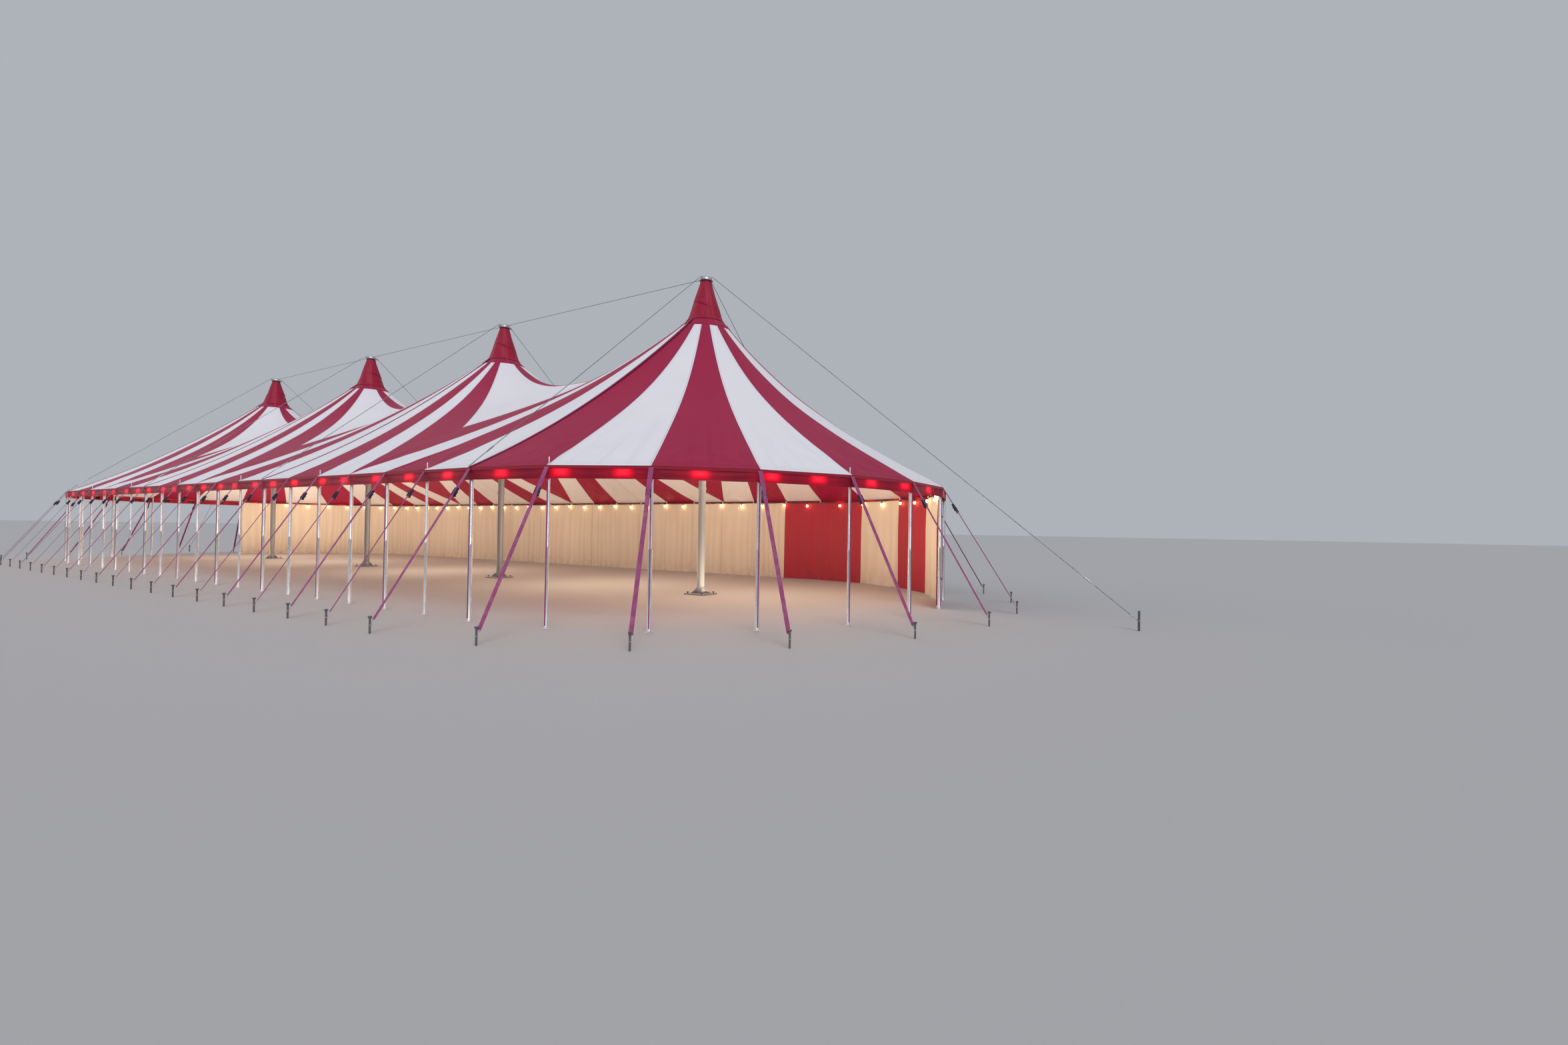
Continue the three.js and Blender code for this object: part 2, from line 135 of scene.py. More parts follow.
class Paint:  # one material, built up node by node
    def __init__(self, name, fixed=None):
        self.material = bpy.data.materials.new(name)
        self.material.use_nodes = True
        self.tree = self.material.node_tree
        self.shader = self.tree.nodes["Principled BSDF"]
        for socket, value in (fixed or {}).items():
            self.feed(self.shader.inputs[socket], value)

    def feed(self, socket, value):
        if isinstance(value, Wire):
            self.tree.links.new(value.socket, socket)
        elif socket.type == "RGBA" and len(value) == 3:
            socket.default_value = (*value, 1)
        else:
            socket.default_value = value

    def add(self, kind, settings=None, inputs=None, output=0):
        node = self.tree.nodes.new(kind)
        for key, value in (settings or {}).items():
            setattr(node, key, value)
        for key, value in (inputs or {}).items():
            self.feed(node.inputs[key], value)
        return Wire(self, node.outputs[output])

    def uv(self, name):
        return self.parts(self.add("ShaderNodeUVMap", {"uv_map": name}))[:2]

    def parts(self, vector):
        first = self.add("ShaderNodeSeparateXYZ", {}, {0: vector})
        return [Wire(self, socket) for socket in first.socket.node.outputs]

    def where(self):
        return self.add("ShaderNodeTexCoord", output="Object")

    def spot(self, x, y, z):
        return self.add("ShaderNodeCombineXYZ", {}, {0: x, 1: y, 2: z})

    def noise(self, scale, vector, detail=3.0, rough=0.55):
        inputs = {"Scale": scale, "Detail": detail, "Roughness": rough, "Vector": vector}
        return self.add("ShaderNodeTexNoise", {}, inputs)

    def weave(self):
        return self.noise(420.0, self.where(), 1.0, 0.4)

    def ease(self, value, low, high):
        inputs = {0: value, 1: low, 2: high, 3: 0.0, 4: 1.0}
        return self.add("ShaderNodeMapRange", {"interpolation_type": "SMOOTHSTEP"}, inputs)

    def patches(self, low, high, scale, vector, detail=3.0, rough=0.55):  # where a noise is high, 0 to 1
        return self.ease(self.noise(scale, vector, detail, rough), low, high)

    def near(self, value, inner, outer):  # 1 where a value is close to zero, 0 further off
        return 1 - self.ease(abs(value), inner, outer)

    def between(self, factor, first, second):
        return self.add("ShaderNodeMix", {"data_type": "RGBA"}, {0: factor, 6: first, 7: second}, 2)

    def relief(self, height, distance):
        inputs = {"Height": height, "Distance": distance, "Strength": 1.0}
        self.show(Normal=self.add("ShaderNodeBump", {}, inputs))

    def show(self, **sockets):
        for name, value in sockets.items():
            self.feed(self.shader.inputs[name.replace("_", " ")], value)


clothLook = {
    "white": (0.79, 0.77, 0.815),
    "whiteWorn": (0.65, 0.63, 0.69),
    "whiteHem": (0.86, 0.84, 0.875),
    "red": (0.345, 0.013, 0.060),
    "redWorn": (0.265, 0.014, 0.052),
    "redHem": (0.37, 0.016, 0.060),
    "stitched": (0.20, 0.06, 0.12),
    "seamWidth": 0.034,
    "hemWidth": 0.045,
    "collarReach": 0.12,
    "closing": 2.24,
}


def stripedCloth():
    look = clothLook
    paint = Paint("stripedCloth", {"IOR": 1.45, "Specular IOR Level": 0.22})
    across, along = paint.uv("gore")
    fromLeft, fromRight = paint.uv("seam")
    fromEave = paint.uv("edge")[0]
    stripe = ((across * 0.5).fraction() > 0.5) * (along > look["collarReach"])
    seamGap = fromLeft.work("MINIMUM", fromLeft, fromRight)
    weld = paint.near(seamGap, look["seamWidth"] * 0.86, look["seamWidth"])
    stitch = paint.near(seamGap - look["seamWidth"] * 0.7, 0.0015, 0.004)
    hem = paint.near(fromEave, look["hemWidth"] * 0.9, look["hemWidth"])
    hemStitch = paint.near(fromEave - look["hemWidth"] * 0.85, 0.0015, 0.004)
    streaks = paint.patches(0.44, 0.78, 1.0, paint.spot(across * 7.0, along * 0.22, 0.0), 4.0, 0.6)
    grime = streaks * paint.near(fromEave, 0.1, 2.4) * 0.55 + paint.near(fromEave, 0.0, 0.22) * 0.3
    grime = grime + paint.patches(0.45, 0.8, 0.55, paint.where(), 4.0, 0.6) * 0.28
    gores = []
    for name in ("red", "white"):
        cloth = paint.between(grime, look[name], look[name + "Worn"])
        gores.append(paint.between(hem * 0.7, cloth, look[name + "Hem"]))
    seamShade = weld * 0.05 + stitch * 0.14 + hemStitch * 0.16 + paint.near(seamGap, 0.002, 0.006) * 0.22
    colour = paint.between(seamShade, paint.between(stripe, *gores), look["stitched"])
    weave = paint.weave()
    fine = paint.noise(5.5, paint.spot(across * 1.6, along * 0.5, 0.0), 3.0, 0.5)
    paint.relief(weave * 0.12 + fine * 2.6 + weld * 1.1 + hem * 1.2 - stitch * 0.6, 0.0022)
    paint.show(Base_Color=colour, Roughness=0.50 + grime * 0.2 + weave * 0.06)
    return paint.material


def redCloth(name, colour, worn):
    paint = Paint(name, {"IOR": 1.45, "Specular IOR Level": 0.24})
    across, along = paint.uv("cloth")
    stain = paint.patches(0.42, 0.75, 2.2, paint.where(), 5.0, 0.62)
    streak = paint.patches(0.46, 0.76, 1.0, paint.spot(across * 9.0, along * 1.2, 0.3))
    shade = stain * 0.42 + streak * 0.4
    fold = paint.noise(1.0, paint.spot(across * 6.0, along * 3.0, 1.7), 3.0, 0.5)
    # the closing seam is a bump, and a pale line is painted along it as a painted highlight on its ridge
    seam = paint.near(across - clothLook["closing"], 0.006, 0.013)
    paint.relief(paint.weave() * 0.12 + fold * 2.4 + seam * 1.4, 0.002)
    # lit: the cloth's colour made lighter, the painted highlight on the closing seam
    lit = tuple(min(1.0, channel * 1.3 + 0.04) for channel in colour)
    paint.show(Base_Color=paint.between(seam * 0.6, paint.between(shade, colour, worn), lit),
               Roughness=0.48 + shade * 0.2)
    return paint.material


lampGlow = {
    "halfWide": 0.15,
    "halfHigh": 0.080,
    "edge": (0.86, 0.0, 0.018),
    "heart": (1.0, 0.022, 0.05),
    "halo": (0.9, 0.0, 0.01),
    "lit": (0.28, 0.0, 0.004),
}


def valanceCloth():  # the lamps behind it show through as soft red boxes of light
    paint = Paint("valanceCloth", {"IOR": 1.45, "Specular IOR Level": 0.2, "Emission Strength": 1.0})
    across, down = paint.uv("cloth")
    fromLamp, lampDrop = paint.uv("lamp")
    stain = paint.patches(0.42, 0.75, 3.0, paint.where(), 4.0, 0.6)
    hemLine = paint.near(down - 0.018, 0.001, 0.0035)
    hem = paint.near(down, 0.019, 0.022)
    colour = paint.between(stain * 0.45, (0.265, 0.006, 0.025), (0.185, 0.006, 0.022))
    colour = paint.between(hemLine * 0.5 + hem * 0.3, colour, (0.10, 0.004, 0.014))
    away = (abs(fromLamp / lampGlow["halfWide"]) ** 4.0 + abs(lampDrop / lampGlow["halfHigh"]) ** 4.0) ** 0.25
    glow = paint.near(away, 0.4, 1.3)
    heart = paint.near(away, 0.0, 0.85)
    halo = paint.near(fromLamp, 0.1, 0.5) * 0.13
    light = paint.between(glow, (0.0, 0.0, 0.0), lampGlow["edge"])
    light = paint.between(glow * heart, light, lampGlow["heart"])
    light = paint.between(halo * (1 - glow), light, lampGlow["halo"])
    fold = paint.noise(1.0, paint.spot(across * 4.0, down * 24.0, 0.0), 3.0, 0.5)
    paint.relief(paint.weave() * 0.12 + fold * 2.0 + hem * 1.0, 0.002)
    paint.show(Base_Color=paint.between(glow * 0.75, colour, lampGlow["lit"]), Roughness=0.46 + stain * 0.15,
               Emission_Color=light)
    return paint.material


def wallCloth():
    paint = Paint("wallCloth", {"Specular IOR Level": 0.3})
    across, above = paint.uv("cloth")
    # the panel map: which panels are red, and how much painted shade falls on the flanks of the folds
    red, foldShade = paint.uv("panelAndShade")
    seam = abs((across / bay + 0.5).fraction() - 0.5) * bay
    weld = paint.near(seam, 0.016, 0.019)
    stitch = paint.near(seam - 0.013, 0.0012, 0.003)
    splash = paint.near(above, 0.0, 0.5) * paint.patches(0.35, 0.7, 7.0, paint.where(), 4.0)
    shade = paint.patches(0.4, 0.8, 0.8, paint.where(), 3.0, 0.5) * 0.18 + splash * 0.45
    cream = paint.between(shade, (0.80, 0.735, 0.62), (0.58, 0.50, 0.40))
    crimson = paint.between(shade, (0.44, 0.03, 0.06), (0.30, 0.03, 0.05))
    # painted shade on the steep flanks of the folds, together with the dark stitches and welds of the seams
    dark = foldShade * 0.17 + stitch * 0.3 + weld * 0.06
    crumple = paint.noise(3.0, paint.spot(across * 3.0, above, 0.0))
    paint.relief(paint.weave() * 0.14 + crumple * 2.0 + weld * 0.9 - stitch * 0.5, 0.002)
    paint.show(Base_Color=paint.between(dark, paint.between(red > 0.5, cream, crimson), (0.22, 0.12, 0.09)),
               Roughness=0.68 + shade * 0.15)
    return paint.material


def webbing(name, colour, edge, rib=900.0, sheen=0.12, gloss=0.3):
    paint = Paint(name, {"Specular IOR Level": gloss, "Sheen Weight": sheen, "Sheen Roughness": 0.5})
    across, along = paint.uv("cloth")
    worn = paint.patches(0.42, 0.74, 9.0, paint.where(), 4.0, 0.6)
    paint.relief((along * rib).sine() * 0.5 + (across * rib * 1.3).sine() * 0.3, 0.0006)
    paint.show(Base_Color=paint.between(worn * 0.6, colour, edge), Roughness=0.76 + worn * 0.12)
    return paint.material


def galvanised(name, light, dark, scale=60.0):
    paint = Paint(name, {"IOR": 1.5})
    where = paint.where()
    cells = paint.add("ShaderNodeTexVoronoi", {}, {"Scale": scale, "Vector": where}, "Color")
    spangle = paint.parts(cells)[0]
    cloudy = paint.patches(0.35, 0.7, 3.0, where, 4.0, 0.6)
    paint.relief(paint.noise(70.0, where), 0.0006)
    paint.show(Base_Color=paint.between(spangle * 0.45 + cloudy * 0.45, light, dark),
               Metallic=0.86 - cloudy * 0.12, Roughness=0.34 + spangle * 0.12 + cloudy * 0.12)
    return paint.material


def paintedSteel(name, colour, bare, metallic=0.35):
    paint = Paint(name, {"IOR": 1.5})
    worn = paint.patches(0.55, 0.72, 6.0, paint.where(), 5.0, 0.65)
    scuffs = paint.noise(38.0, paint.where(), 3.0, 0.6)
    paint.relief(scuffs + worn * -0.4, 0.0008)
    paint.show(Base_Color=paint.between(worn * 0.7, colour, bare), Metallic=metallic + worn * 0.3,
               Roughness=0.36 + scuffs * 0.2)
    return paint.material


def wireRope():
    paint = Paint("wireRope", {"IOR": 1.5})
    around, along = paint.uv("cloth")
    grease = paint.patches(0.4, 0.7, 14.0, paint.where())
    paint.relief(((around * 6.0 + along / 0.045) * math.tau).sine(), 0.0011)
    paint.show(Base_Color=paint.between(grease, (0.30, 0.33, 0.37), (0.14, 0.15, 0.17)),
               Metallic=0.75 - grease * 0.3, Roughness=0.42 + grease * 0.22)
    return paint.material


def plain(name, colour, rough, grain=30.0, **fixed):
    paint = Paint(name, {key.replace("_", " "): value for key, value in fixed.items()})
    mottled = paint.noise(grain, paint.where(), 3.0, 0.6)
    darker = tuple(channel * 0.72 for channel in colour)
    paint.relief(mottled, 0.0006)
    paint.show(Base_Color=paint.between(paint.ease(mottled, 0.35, 0.75), colour, darker),
               Roughness=rough + mottled * 0.16)
    return paint.material


finish = {
    "roof": stripedCloth(),
    "cap": redCloth("capCloth", (0.35, 0.009, 0.041), (0.225, 0.010, 0.036)),
    "collar": redCloth("collarCloth", clothLook["red"], clothLook["redWorn"]),
    # the cap cloth painted darker in two bands: a painted shadow line along the cap's hem, and painted shade
    # just under the head's brim
    "capShadeBand": redCloth("capShadeBandCloth", (0.17, 0.008, 0.024), (0.11, 0.006, 0.018)),
    "valance": valanceCloth(),
    "wall": wallCloth(),
    "strap": webbing("strapWebbing", (0.30, 0.055, 0.17), (0.42, 0.16, 0.27)),
    "belt": webbing("beltWebbing", (0.32, 0.010, 0.035), (0.24, 0.02, 0.04)),
    # the flap's dark colour is partly the flap's own dark red and partly painted shadow along both sides of
    # the cord laid over it
    "flap": webbing("lacingFlapAndShadow", (0.17, 0.010, 0.038), (0.11, 0.008, 0.028), sheen=0.0, gloss=0.12),
    "lace": webbing("lacingCord", (0.38, 0.12, 0.19), (0.285, 0.095, 0.15), 500.0, 0.0, 0.12),
    "galvanised": galvanised("galvanisedTube", (0.83, 0.85, 0.88), (0.56, 0.58, 0.62)),
    "castGrey": galvanised("castHead", (0.62, 0.64, 0.66), (0.34, 0.35, 0.37), 90.0),
    "mast": paintedSteel("mastPaint", (0.30, 0.32, 0.35), (0.42, 0.36, 0.32)),
    "darkSteel": paintedSteel("stakeSteel", (0.16, 0.165, 0.175), (0.30, 0.22, 0.17), 0.6),
    "wire": wireRope(),
    "ratchetBody": plain("ratchetBody", (0.012, 0.018, 0.055), 0.34),
    "ratchetHandle": plain("ratchetHandle", (0.012, 0.013, 0.016), 0.45),
    "lampBox": plain("lampBox", (0.02, 0.02, 0.022), 0.4),
    "lampLens": plain("lampLens", (0.6, 0.02, 0.03), 0.2, 12.0,
                      Emission_Color=(1.0, 0.02, 0.05, 1), Emission_Strength=2.5),
    "bulb": plain("bulbGlass", (0.95, 0.70, 0.42), 0.2, 12.0,
                  Emission_Color=(1.0, 0.56, 0.22, 1), Emission_Strength=14.0),
}
print("materials made:", len(finish))


# Making and joining pieces
def clearPick():
    if bpy.context.object and bpy.context.object.mode != "OBJECT":
        bpy.ops.object.mode_set(mode="OBJECT")
    bpy.ops.object.select_all(action="DESELECT")


def pickOnly(piece):
    clearPick()
    piece.select_set(True)
    bpy.context.view_layer.objects.active = piece


def started(name):  # names the primitive that was just added
    piece = bpy.context.object
    piece.name = name
    piece.data.name = name
    bpy.ops.object.transform_apply(location=True, rotation=True, scale=True)
    return piece


def cubePiece(name, place, size, turn=(0, 0, 0)):
    clearPick()
    bpy.ops.mesh.primitive_cube_add(size=1, location=place, rotation=turn)
    bpy.context.object.scale = size
    return started(name)


def rodPiece(name, place, radius, length, sides=16, turn=(0, 0, 0)):
    clearPick()
    bpy.ops.mesh.primitive_cylinder_add(vertices=sides, radius=radius, depth=length,
                                        location=place, rotation=turn)
    return started(name)


def ringPiece(name, place, ring, thick, sides=24, turn=(0, 0, 0)):
    clearPick()
    bpy.ops.mesh.primitive_torus_add(major_radius=ring, minor_radius=thick, major_segments=sides,
                                     minor_segments=8, location=place, rotation=turn)
    return started(name)


def openEdit(piece, kind):
    pickOnly(piece)
    bpy.ops.object.mode_set(mode="EDIT")
    bpy.ops.mesh.select_mode(type=kind)
    bpy.ops.mesh.select_all(action="DESELECT")


def closeEdit():
    bpy.ops.object.mode_set(mode="OBJECT")


def editFaces(piece, test):  # opens a piece with the faces picked that pass a test of middle and normal
    openEdit(piece, "FACE")
    for face in bmesh.from_edit_mesh(piece.data).faces:
        face.select_set(bool(test(face.calc_center_median(), face.normal)))
    bmesh.update_edit_mesh(piece.data)


def editPoints(piece, test):  # opens a piece with the points picked that pass a test of place
    openEdit(piece, "VERT")
    shape = bmesh.from_edit_mesh(piece.data)
    for point in shape.verts:
        point.select_set(bool(test(point.co)))
    shape.select_flush(True)
    bmesh.update_edit_mesh(piece.data)


def sunkHole(piece, test, rim, depth):  # a recess let into the picked faces
    editFaces(piece, test)
    bpy.ops.mesh.inset(thickness=rim, depth=0)
    bpy.ops.mesh.inset(thickness=rim * 0.12, depth=-depth)
    closeEdit()


def softEdges(piece, width, steps=2):
    pickOnly(piece)
    bpy.ops.object.modifier_add(type="BEVEL")
    edge = piece.modifiers[-1]
    edge.width = width
    edge.segments = steps
    edge.limit_method = "ANGLE"
    edge.angle_limit = 0.6
    bpy.ops.object.modifier_apply(modifier=edge.name)
    return piece


def turnedPiece(name, outline, sides=32):  # an outline of radius and height, spun round the upright axis
    clearPick()
    bpy.ops.mesh.primitive_plane_add(size=0.01, location=(0, 0, 0))
    piece = started(name)
    openEdit(piece, "VERT")
    bpy.ops.mesh.select_all(action="SELECT")
    bpy.ops.mesh.merge(type="CENTER")
    bpy.ops.transform.translate(value=(outline[0][0], 0, outline[0][1]))
    for (r0, z0), (r1, z1) in zip(outline, outline[1:]):
        bpy.ops.mesh.extrude_region_move(TRANSFORM_OT_translate={"value": (r1 - r0, 0, z1 - z0)})
    bpy.ops.mesh.select_all(action="SELECT")
    bpy.ops.mesh.spin(steps=sides, angle=math.tau, center=(0, 0, 0), axis=(0, 0, 1))
    bpy.ops.mesh.select_all(action="SELECT")
    bpy.ops.mesh.remove_doubles(threshold=1e-5)
    bpy.ops.mesh.normals_make_consistent(inside=False)
    closeEdit()
    return piece


def coloured(piece, name):
    piece.data.materials.clear()
    piece.data.materials.append(finish[name])
    return piece


def pattern(*pieces):  # joins models into one mesh that is then copied to its places
    pickOnly(pieces[0])
    for piece in pieces:
        piece.select_set(True)
    if len(pieces) > 1:
        bpy.ops.object.join()
    piece = bpy.context.object
    mesh = piece.data
    bpy.data.objects.remove(piece)
    return mesh


def read(collection, key, width, kind=float):
    values = np.zeros(len(collection) * width, dtype=kind)
    collection.foreach_get(key, values)
    return values.reshape(-1, width) if width > 1 else values


def gather(name, parts, smooth=0.7):  # one object from meshes or (mesh, place) copies, at the origin
    points, corners, starts, slots, layers, materials = [], [], [], [], {}, []
    pointCount = cornerCount = 0
    for part in parts:
        mesh, place = part if isinstance(part, tuple) else (part, Matrix())
        spot = np.array(place)
        points.append(read(mesh.vertices, "co", 3) @ spot[:3, :3].T + spot[:3, 3])
        corners.append(read(mesh.loops, "vertex_index", 1, np.int32) + pointCount)
        starts.append(read(mesh.polygons, "loop_start", 1, np.int32) + cornerCount)
        for material in mesh.materials:
            if material not in materials:
                materials.append(material)
        index = np.array([materials.index(m) for m in mesh.materials] or [0])
        slots.append(index[read(mesh.polygons, "material_index", 1, np.int32)])
        for layer in mesh.uv_layers:
            layers.setdefault(layer.name, {})[len(points) - 1] = read(layer.data, "uv", 2)
        pointCount += len(mesh.vertices)
        cornerCount += len(mesh.loops)
    mesh = bpy.data.meshes.new(name)
    mesh.vertices.add(pointCount)
    mesh.vertices.foreach_set("co", np.concatenate(points).ravel())
    mesh.loops.add(cornerCount)
    mesh.loops.foreach_set("vertex_index", np.concatenate(corners))
    allStarts = np.concatenate(starts)
    mesh.polygons.add(len(allStarts))
    mesh.polygons.foreach_set("loop_start", allStarts)
    mesh.polygons.foreach_set("material_index", np.concatenate(slots))
    mesh.update(calc_edges=True)
    for key, found in layers.items():
        values = [found.get(i, np.zeros((len(block), 2))) for i, block in enumerate(corners)]
        mesh.uv_layers.new(name=key).data.foreach_set("uv", np.concatenate(values).ravel())
    for material in materials:
        mesh.materials.append(material)
    piece = bpy.data.objects.new(name, mesh)
    bpy.context.collection.objects.link(piece)
    pickOnly(piece)
    bpy.ops.object.shade_smooth_by_angle(angle=smooth)
    return piece


def hand(piece, slot, *nodes):  # a finished piece rides on the tent and may stand for solids
    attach(piece, "root")
    if nodes:
        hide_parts(*nodes)


def clothMesh(name, points, faces, layers, material):  # layers: name to the map places of each face's corners
    mesh = bpy.data.meshes.new(name)
    mesh.from_pydata([tuple(p) for p in points], [], faces)
    for key, values in layers.items():
        flat = np.array([number for face in values for corner in face for number in corner], dtype=float)
        mesh.uv_layers.new(name=key).data.foreach_set("uv", flat)
    mesh.materials.append(finish[material])
    return mesh


def thickened(name, mesh, thickness):  # a sheet gets its thickness on its inner side
    piece = bpy.data.objects.new(name, mesh)
    bpy.context.collection.objects.link(piece)
    pickOnly(piece)
    shape = bmesh.new()
    shape.from_mesh(mesh)
    bmesh.ops.remove_doubles(shape, verts=shape.verts, dist=2e-5)
    shape.to_mesh(mesh)
    shape.free()
    bpy.ops.object.modifier_add(type="SOLIDIFY")
    wall = piece.modifiers[-1]
    wall.thickness = thickness
    wall.offset = -1
    bpy.ops.object.modifier_apply(modifier=wall.name)
    bpy.ops.object.shade_smooth_by_angle(angle=0.9)
    return piece


def swept(name, line, section, breadth, material):  # a closed mesh along points, with its map
    line = [Vector(p) for p in line]
    points, faces, maps, runs = [], [], [], [0.0]
    for a, b in zip(line, line[1:]):
        runs.append(runs[-1] + (b - a).length)
    for before, spot, after in zip(line[:1] + line, line, line[1:] + line[-1:]):
        points += section(spot, (after - before).normalized())
    sides = len(points) // len(line)
    for i in range(len(line) - 1):
        for k in range(sides):
            n = (k + 1) % sides
            a, b = i * sides, (i + 1) * sides
            faces.append((a + k, a + n, b + n, b + k))
            u0, u1 = k * breadth / sides, (k + 1) * breadth / sides
            maps.append([(u0, runs[i]), (u1, runs[i]), (u1, runs[i + 1]), (u0, runs[i + 1])])
    faces += [tuple(range(sides)), tuple(range(len(points) - sides, len(points)))]
    maps += [[(0.0, 0.0)] * sides] * 2
    mesh = clothMesh(name, points, faces, {"cloth": maps}, material)
    shape = bmesh.new()
    shape.from_mesh(mesh)
    bmesh.ops.recalc_face_normals(shape, faces=shape.faces)
    shape.to_mesh(mesh)
    shape.free()
    return mesh


def tube(name, line, radius, material, sides=8):
    def section(spot, ahead):
        level = Vector((0, 0, 1)) if abs(ahead.z) < 0.9 else Vector((1, 0, 0))
        side = ahead.cross(level).normalized()
        upward = side.cross(ahead)
        turns = [k * math.tau / sides for k in range(sides)]
        return [spot + radius * (math.cos(turn) * side + math.sin(turn) * upward) for turn in turns]

    return swept(name, line, section, 1.0, material)


def ribbon(name, line, width, thickness, across, material):  # flat webbing with thinner edges
    across = Vector(across).normalized()
    outline = [(-1, -1), (-0.82, -1.15), (0.82, -1.15), (1, -1), (1, 1), (0.82, 1.15), (-0.82, 1.15), (-1, 1)]

    def section(spot, ahead):
        face = across.cross(ahead).normalized()
        return [spot + across * (s * width / 2) + face * (f * thickness / 2) for s, f in outline]

    return swept(name, line, section, width, material)


def at(x, y, z=0.0, turn=0.0):
    return Matrix.Translation((x, y, z)) @ Matrix.Rotation(turn, 4, "Z")


def turnTo(start, end):  # places a model's own +Z along a line, from its start
    start, end = Vector(start), Vector(end)
    return Matrix.Translation(start) @ (end - start).to_track_quat("Z", "Y").to_matrix().to_4x4()


def facing(face, along):  # turns a model's own +Y and +Z to these ways
    return Matrix((face.cross(along), face, along)).transposed().to_4x4()


# The runs of eave: where the axes of each lie, its plan line, and the stations of its poles
home = {}
for side, middle in tent["spans"].items():
    home[f"front_{side}"] = at(middle, 0)
    home[f"back_{side}"] = at(middle, 0, 0, math.pi)
home["right_end"] = at(lastPole, 0)
home["left_end"] = at(-lastPole, 0, 0, math.pi)


def endPoint(step):  # a corner of the half-round end's eave, or a place between two
    low = math.floor(step)
    spots = []
    for i in (low, low + 1):
        turn = -math.pi / 2 + i * math.pi / endGores
        spots.append(Vector((tent["endReach"] * math.cos(turn), halfWidth * math.sin(turn))))
    return spots[0].lerp(spots[1], step - low)


spanLine = [Vector((-halfSpan, -halfWidth)), Vector((halfSpan, -halfWidth))]
sideEnd = lastPole - tent["clothGap"]
sideLine = [Vector((-sideEnd, -halfWidth)), Vector((sideEnd, -halfWidth))]
endLine = [endPoint(step) for step in range(endGores + 1)]


def stations(name):  # a run's side poles: place, outward way, if it has a main strap, if it is a thin pole
    found = []
    if "end" in name:
        for step in range(1, endGores):
            chord = (endLine[step + 1] - endLine[step - 1]).normalized()
            found.append((endLine[step], Vector((chord.y, -chord.x)), True, step % 3 == 1))
        return found
    inner = 1 if "middle" in name else 0
    for step in range(inner, tent["bays"] + 1 - inner):
        spot = Vector((halfSpan - step * bay, -halfWidth))
        found.append((spot, Vector((0, -1)), step % 2 == 0, step % 3 == 1))
    return found


def inset(line, depth):  # a plan line moved inwards, mitred at its corners
    moved = []
    for i, spot in enumerate(line):
        beside = line[max(i - 1, 0):i + 2]
        ways = [(b - a).normalized() for a, b in zip(beside, beside[1:])]
        normals = [Vector((-way.y, way.x)) for way in ways]
        mitre = sum(normals, Vector((0, 0))).normalized()
        moved.append(spot + mitre * (depth / mitre.dot(normals[0])))
    return moved


def shortened(line, first, last):  # a plan line with these lengths cut off at its ends
    start = line[0].lerp(line[1], first / (line[1] - line[0]).length)
    end = line[-1].lerp(line[-2], last / (line[-1] - line[-2]).length)
    return [start, *line[1:-1], end]


def eavePath(name, depth, cut):  # a run's line, inset, and cut short where the next run's parts begin
    path = inset(endLine if "end" in name else spanLine, depth)
    return shortened(path, cut, cut) if "end" in name or "middle" in name else path


# Roof cloth
roof = {
    "ringRadius": 0.47,
    "ringHeight": 5.9,
    "ringSlope": 0.895,
    "eaveSlope": 0.5,
    "lip": 0.03,
    "endSag": {"ring": 0.325, "eave": 0.05, "blend": 7},
    "saddle": 5.0,
    "rounding": 0.1,
    "raysPerGore": 16,
    "firstShares": (0, 0.003, 0.006, 0.010, 0.015, 0.021, 0.028, 0.037),
    "rows": 44,
    "thickness": 0.003,
    "pillow": 0.008,
    "crease": 0.019,
    "creaseReach": 0.58,
    "ripple": 0.006,
    "spanAngles": [90, 77.9, 66.8, None, 43.9, 9.6],
    "flat": {"span": (7.4, 14.2, 89.0), "end": (12.8, 7.0, 53.5)},
}


def valley(y):  # height and slope of the roof midway between two king poles
    v = abs(y) / halfWidth
    bend = math.hypot(v, roof["rounding"])
    drop = (roof["saddle"] - tent["eave"]) / (math.hypot(1, roof["rounding"]) - roof["rounding"])
    return roof["saddle"] - drop * (bend - roof["rounding"]), drop * v / bend / halfWidth


def spanStop(turn):  # where a ray at this plan angle from the king pole ends: place, height and slopes
    if abs(turn) >= math.atan2(halfWidth, halfSpan) - 1e-9:
        x, y, z = halfWidth / math.tan(abs(turn)), math.copysign(halfWidth, turn), tent["eave"]
        share = x / halfSpan
        fall = roof["eaveSlope"] + (valley(halfWidth)[1] - roof["eaveSlope"]) * share * share
    else:
        x, y = halfSpan, halfSpan * math.tan(turn)
        z, fall = valley(y)
    return x, y, z, fall * math.sin(abs(turn)), roof["ringSlope"]


def endStop(step):  # a round end hangs lower than the spans, except along its laced edges
    spot = endPoint(step)
    normal = Vector((spot.x / tent["endReach"] ** 2, spot.y / halfWidth ** 2)).normalized()
    turn = abs(math.atan2(spot.y, spot.x)) / (math.pi / 2)
    sag = 1 - min(turn, 1) ** roof["endSag"]["blend"]
    fall = (roof["eaveSlope"] + roof["endSag"]["eave"] * sag) * spot.normalized().dot(normal)
    return spot.x, spot.y, tent["eave"], fall, roof["ringSlope"] + roof["endSag"]["ring"] * sag


def easing(value, low, high):
    t = np.clip((value - low) / (high - low), 0, 1)
    return t * t * (3 - 2 * t)


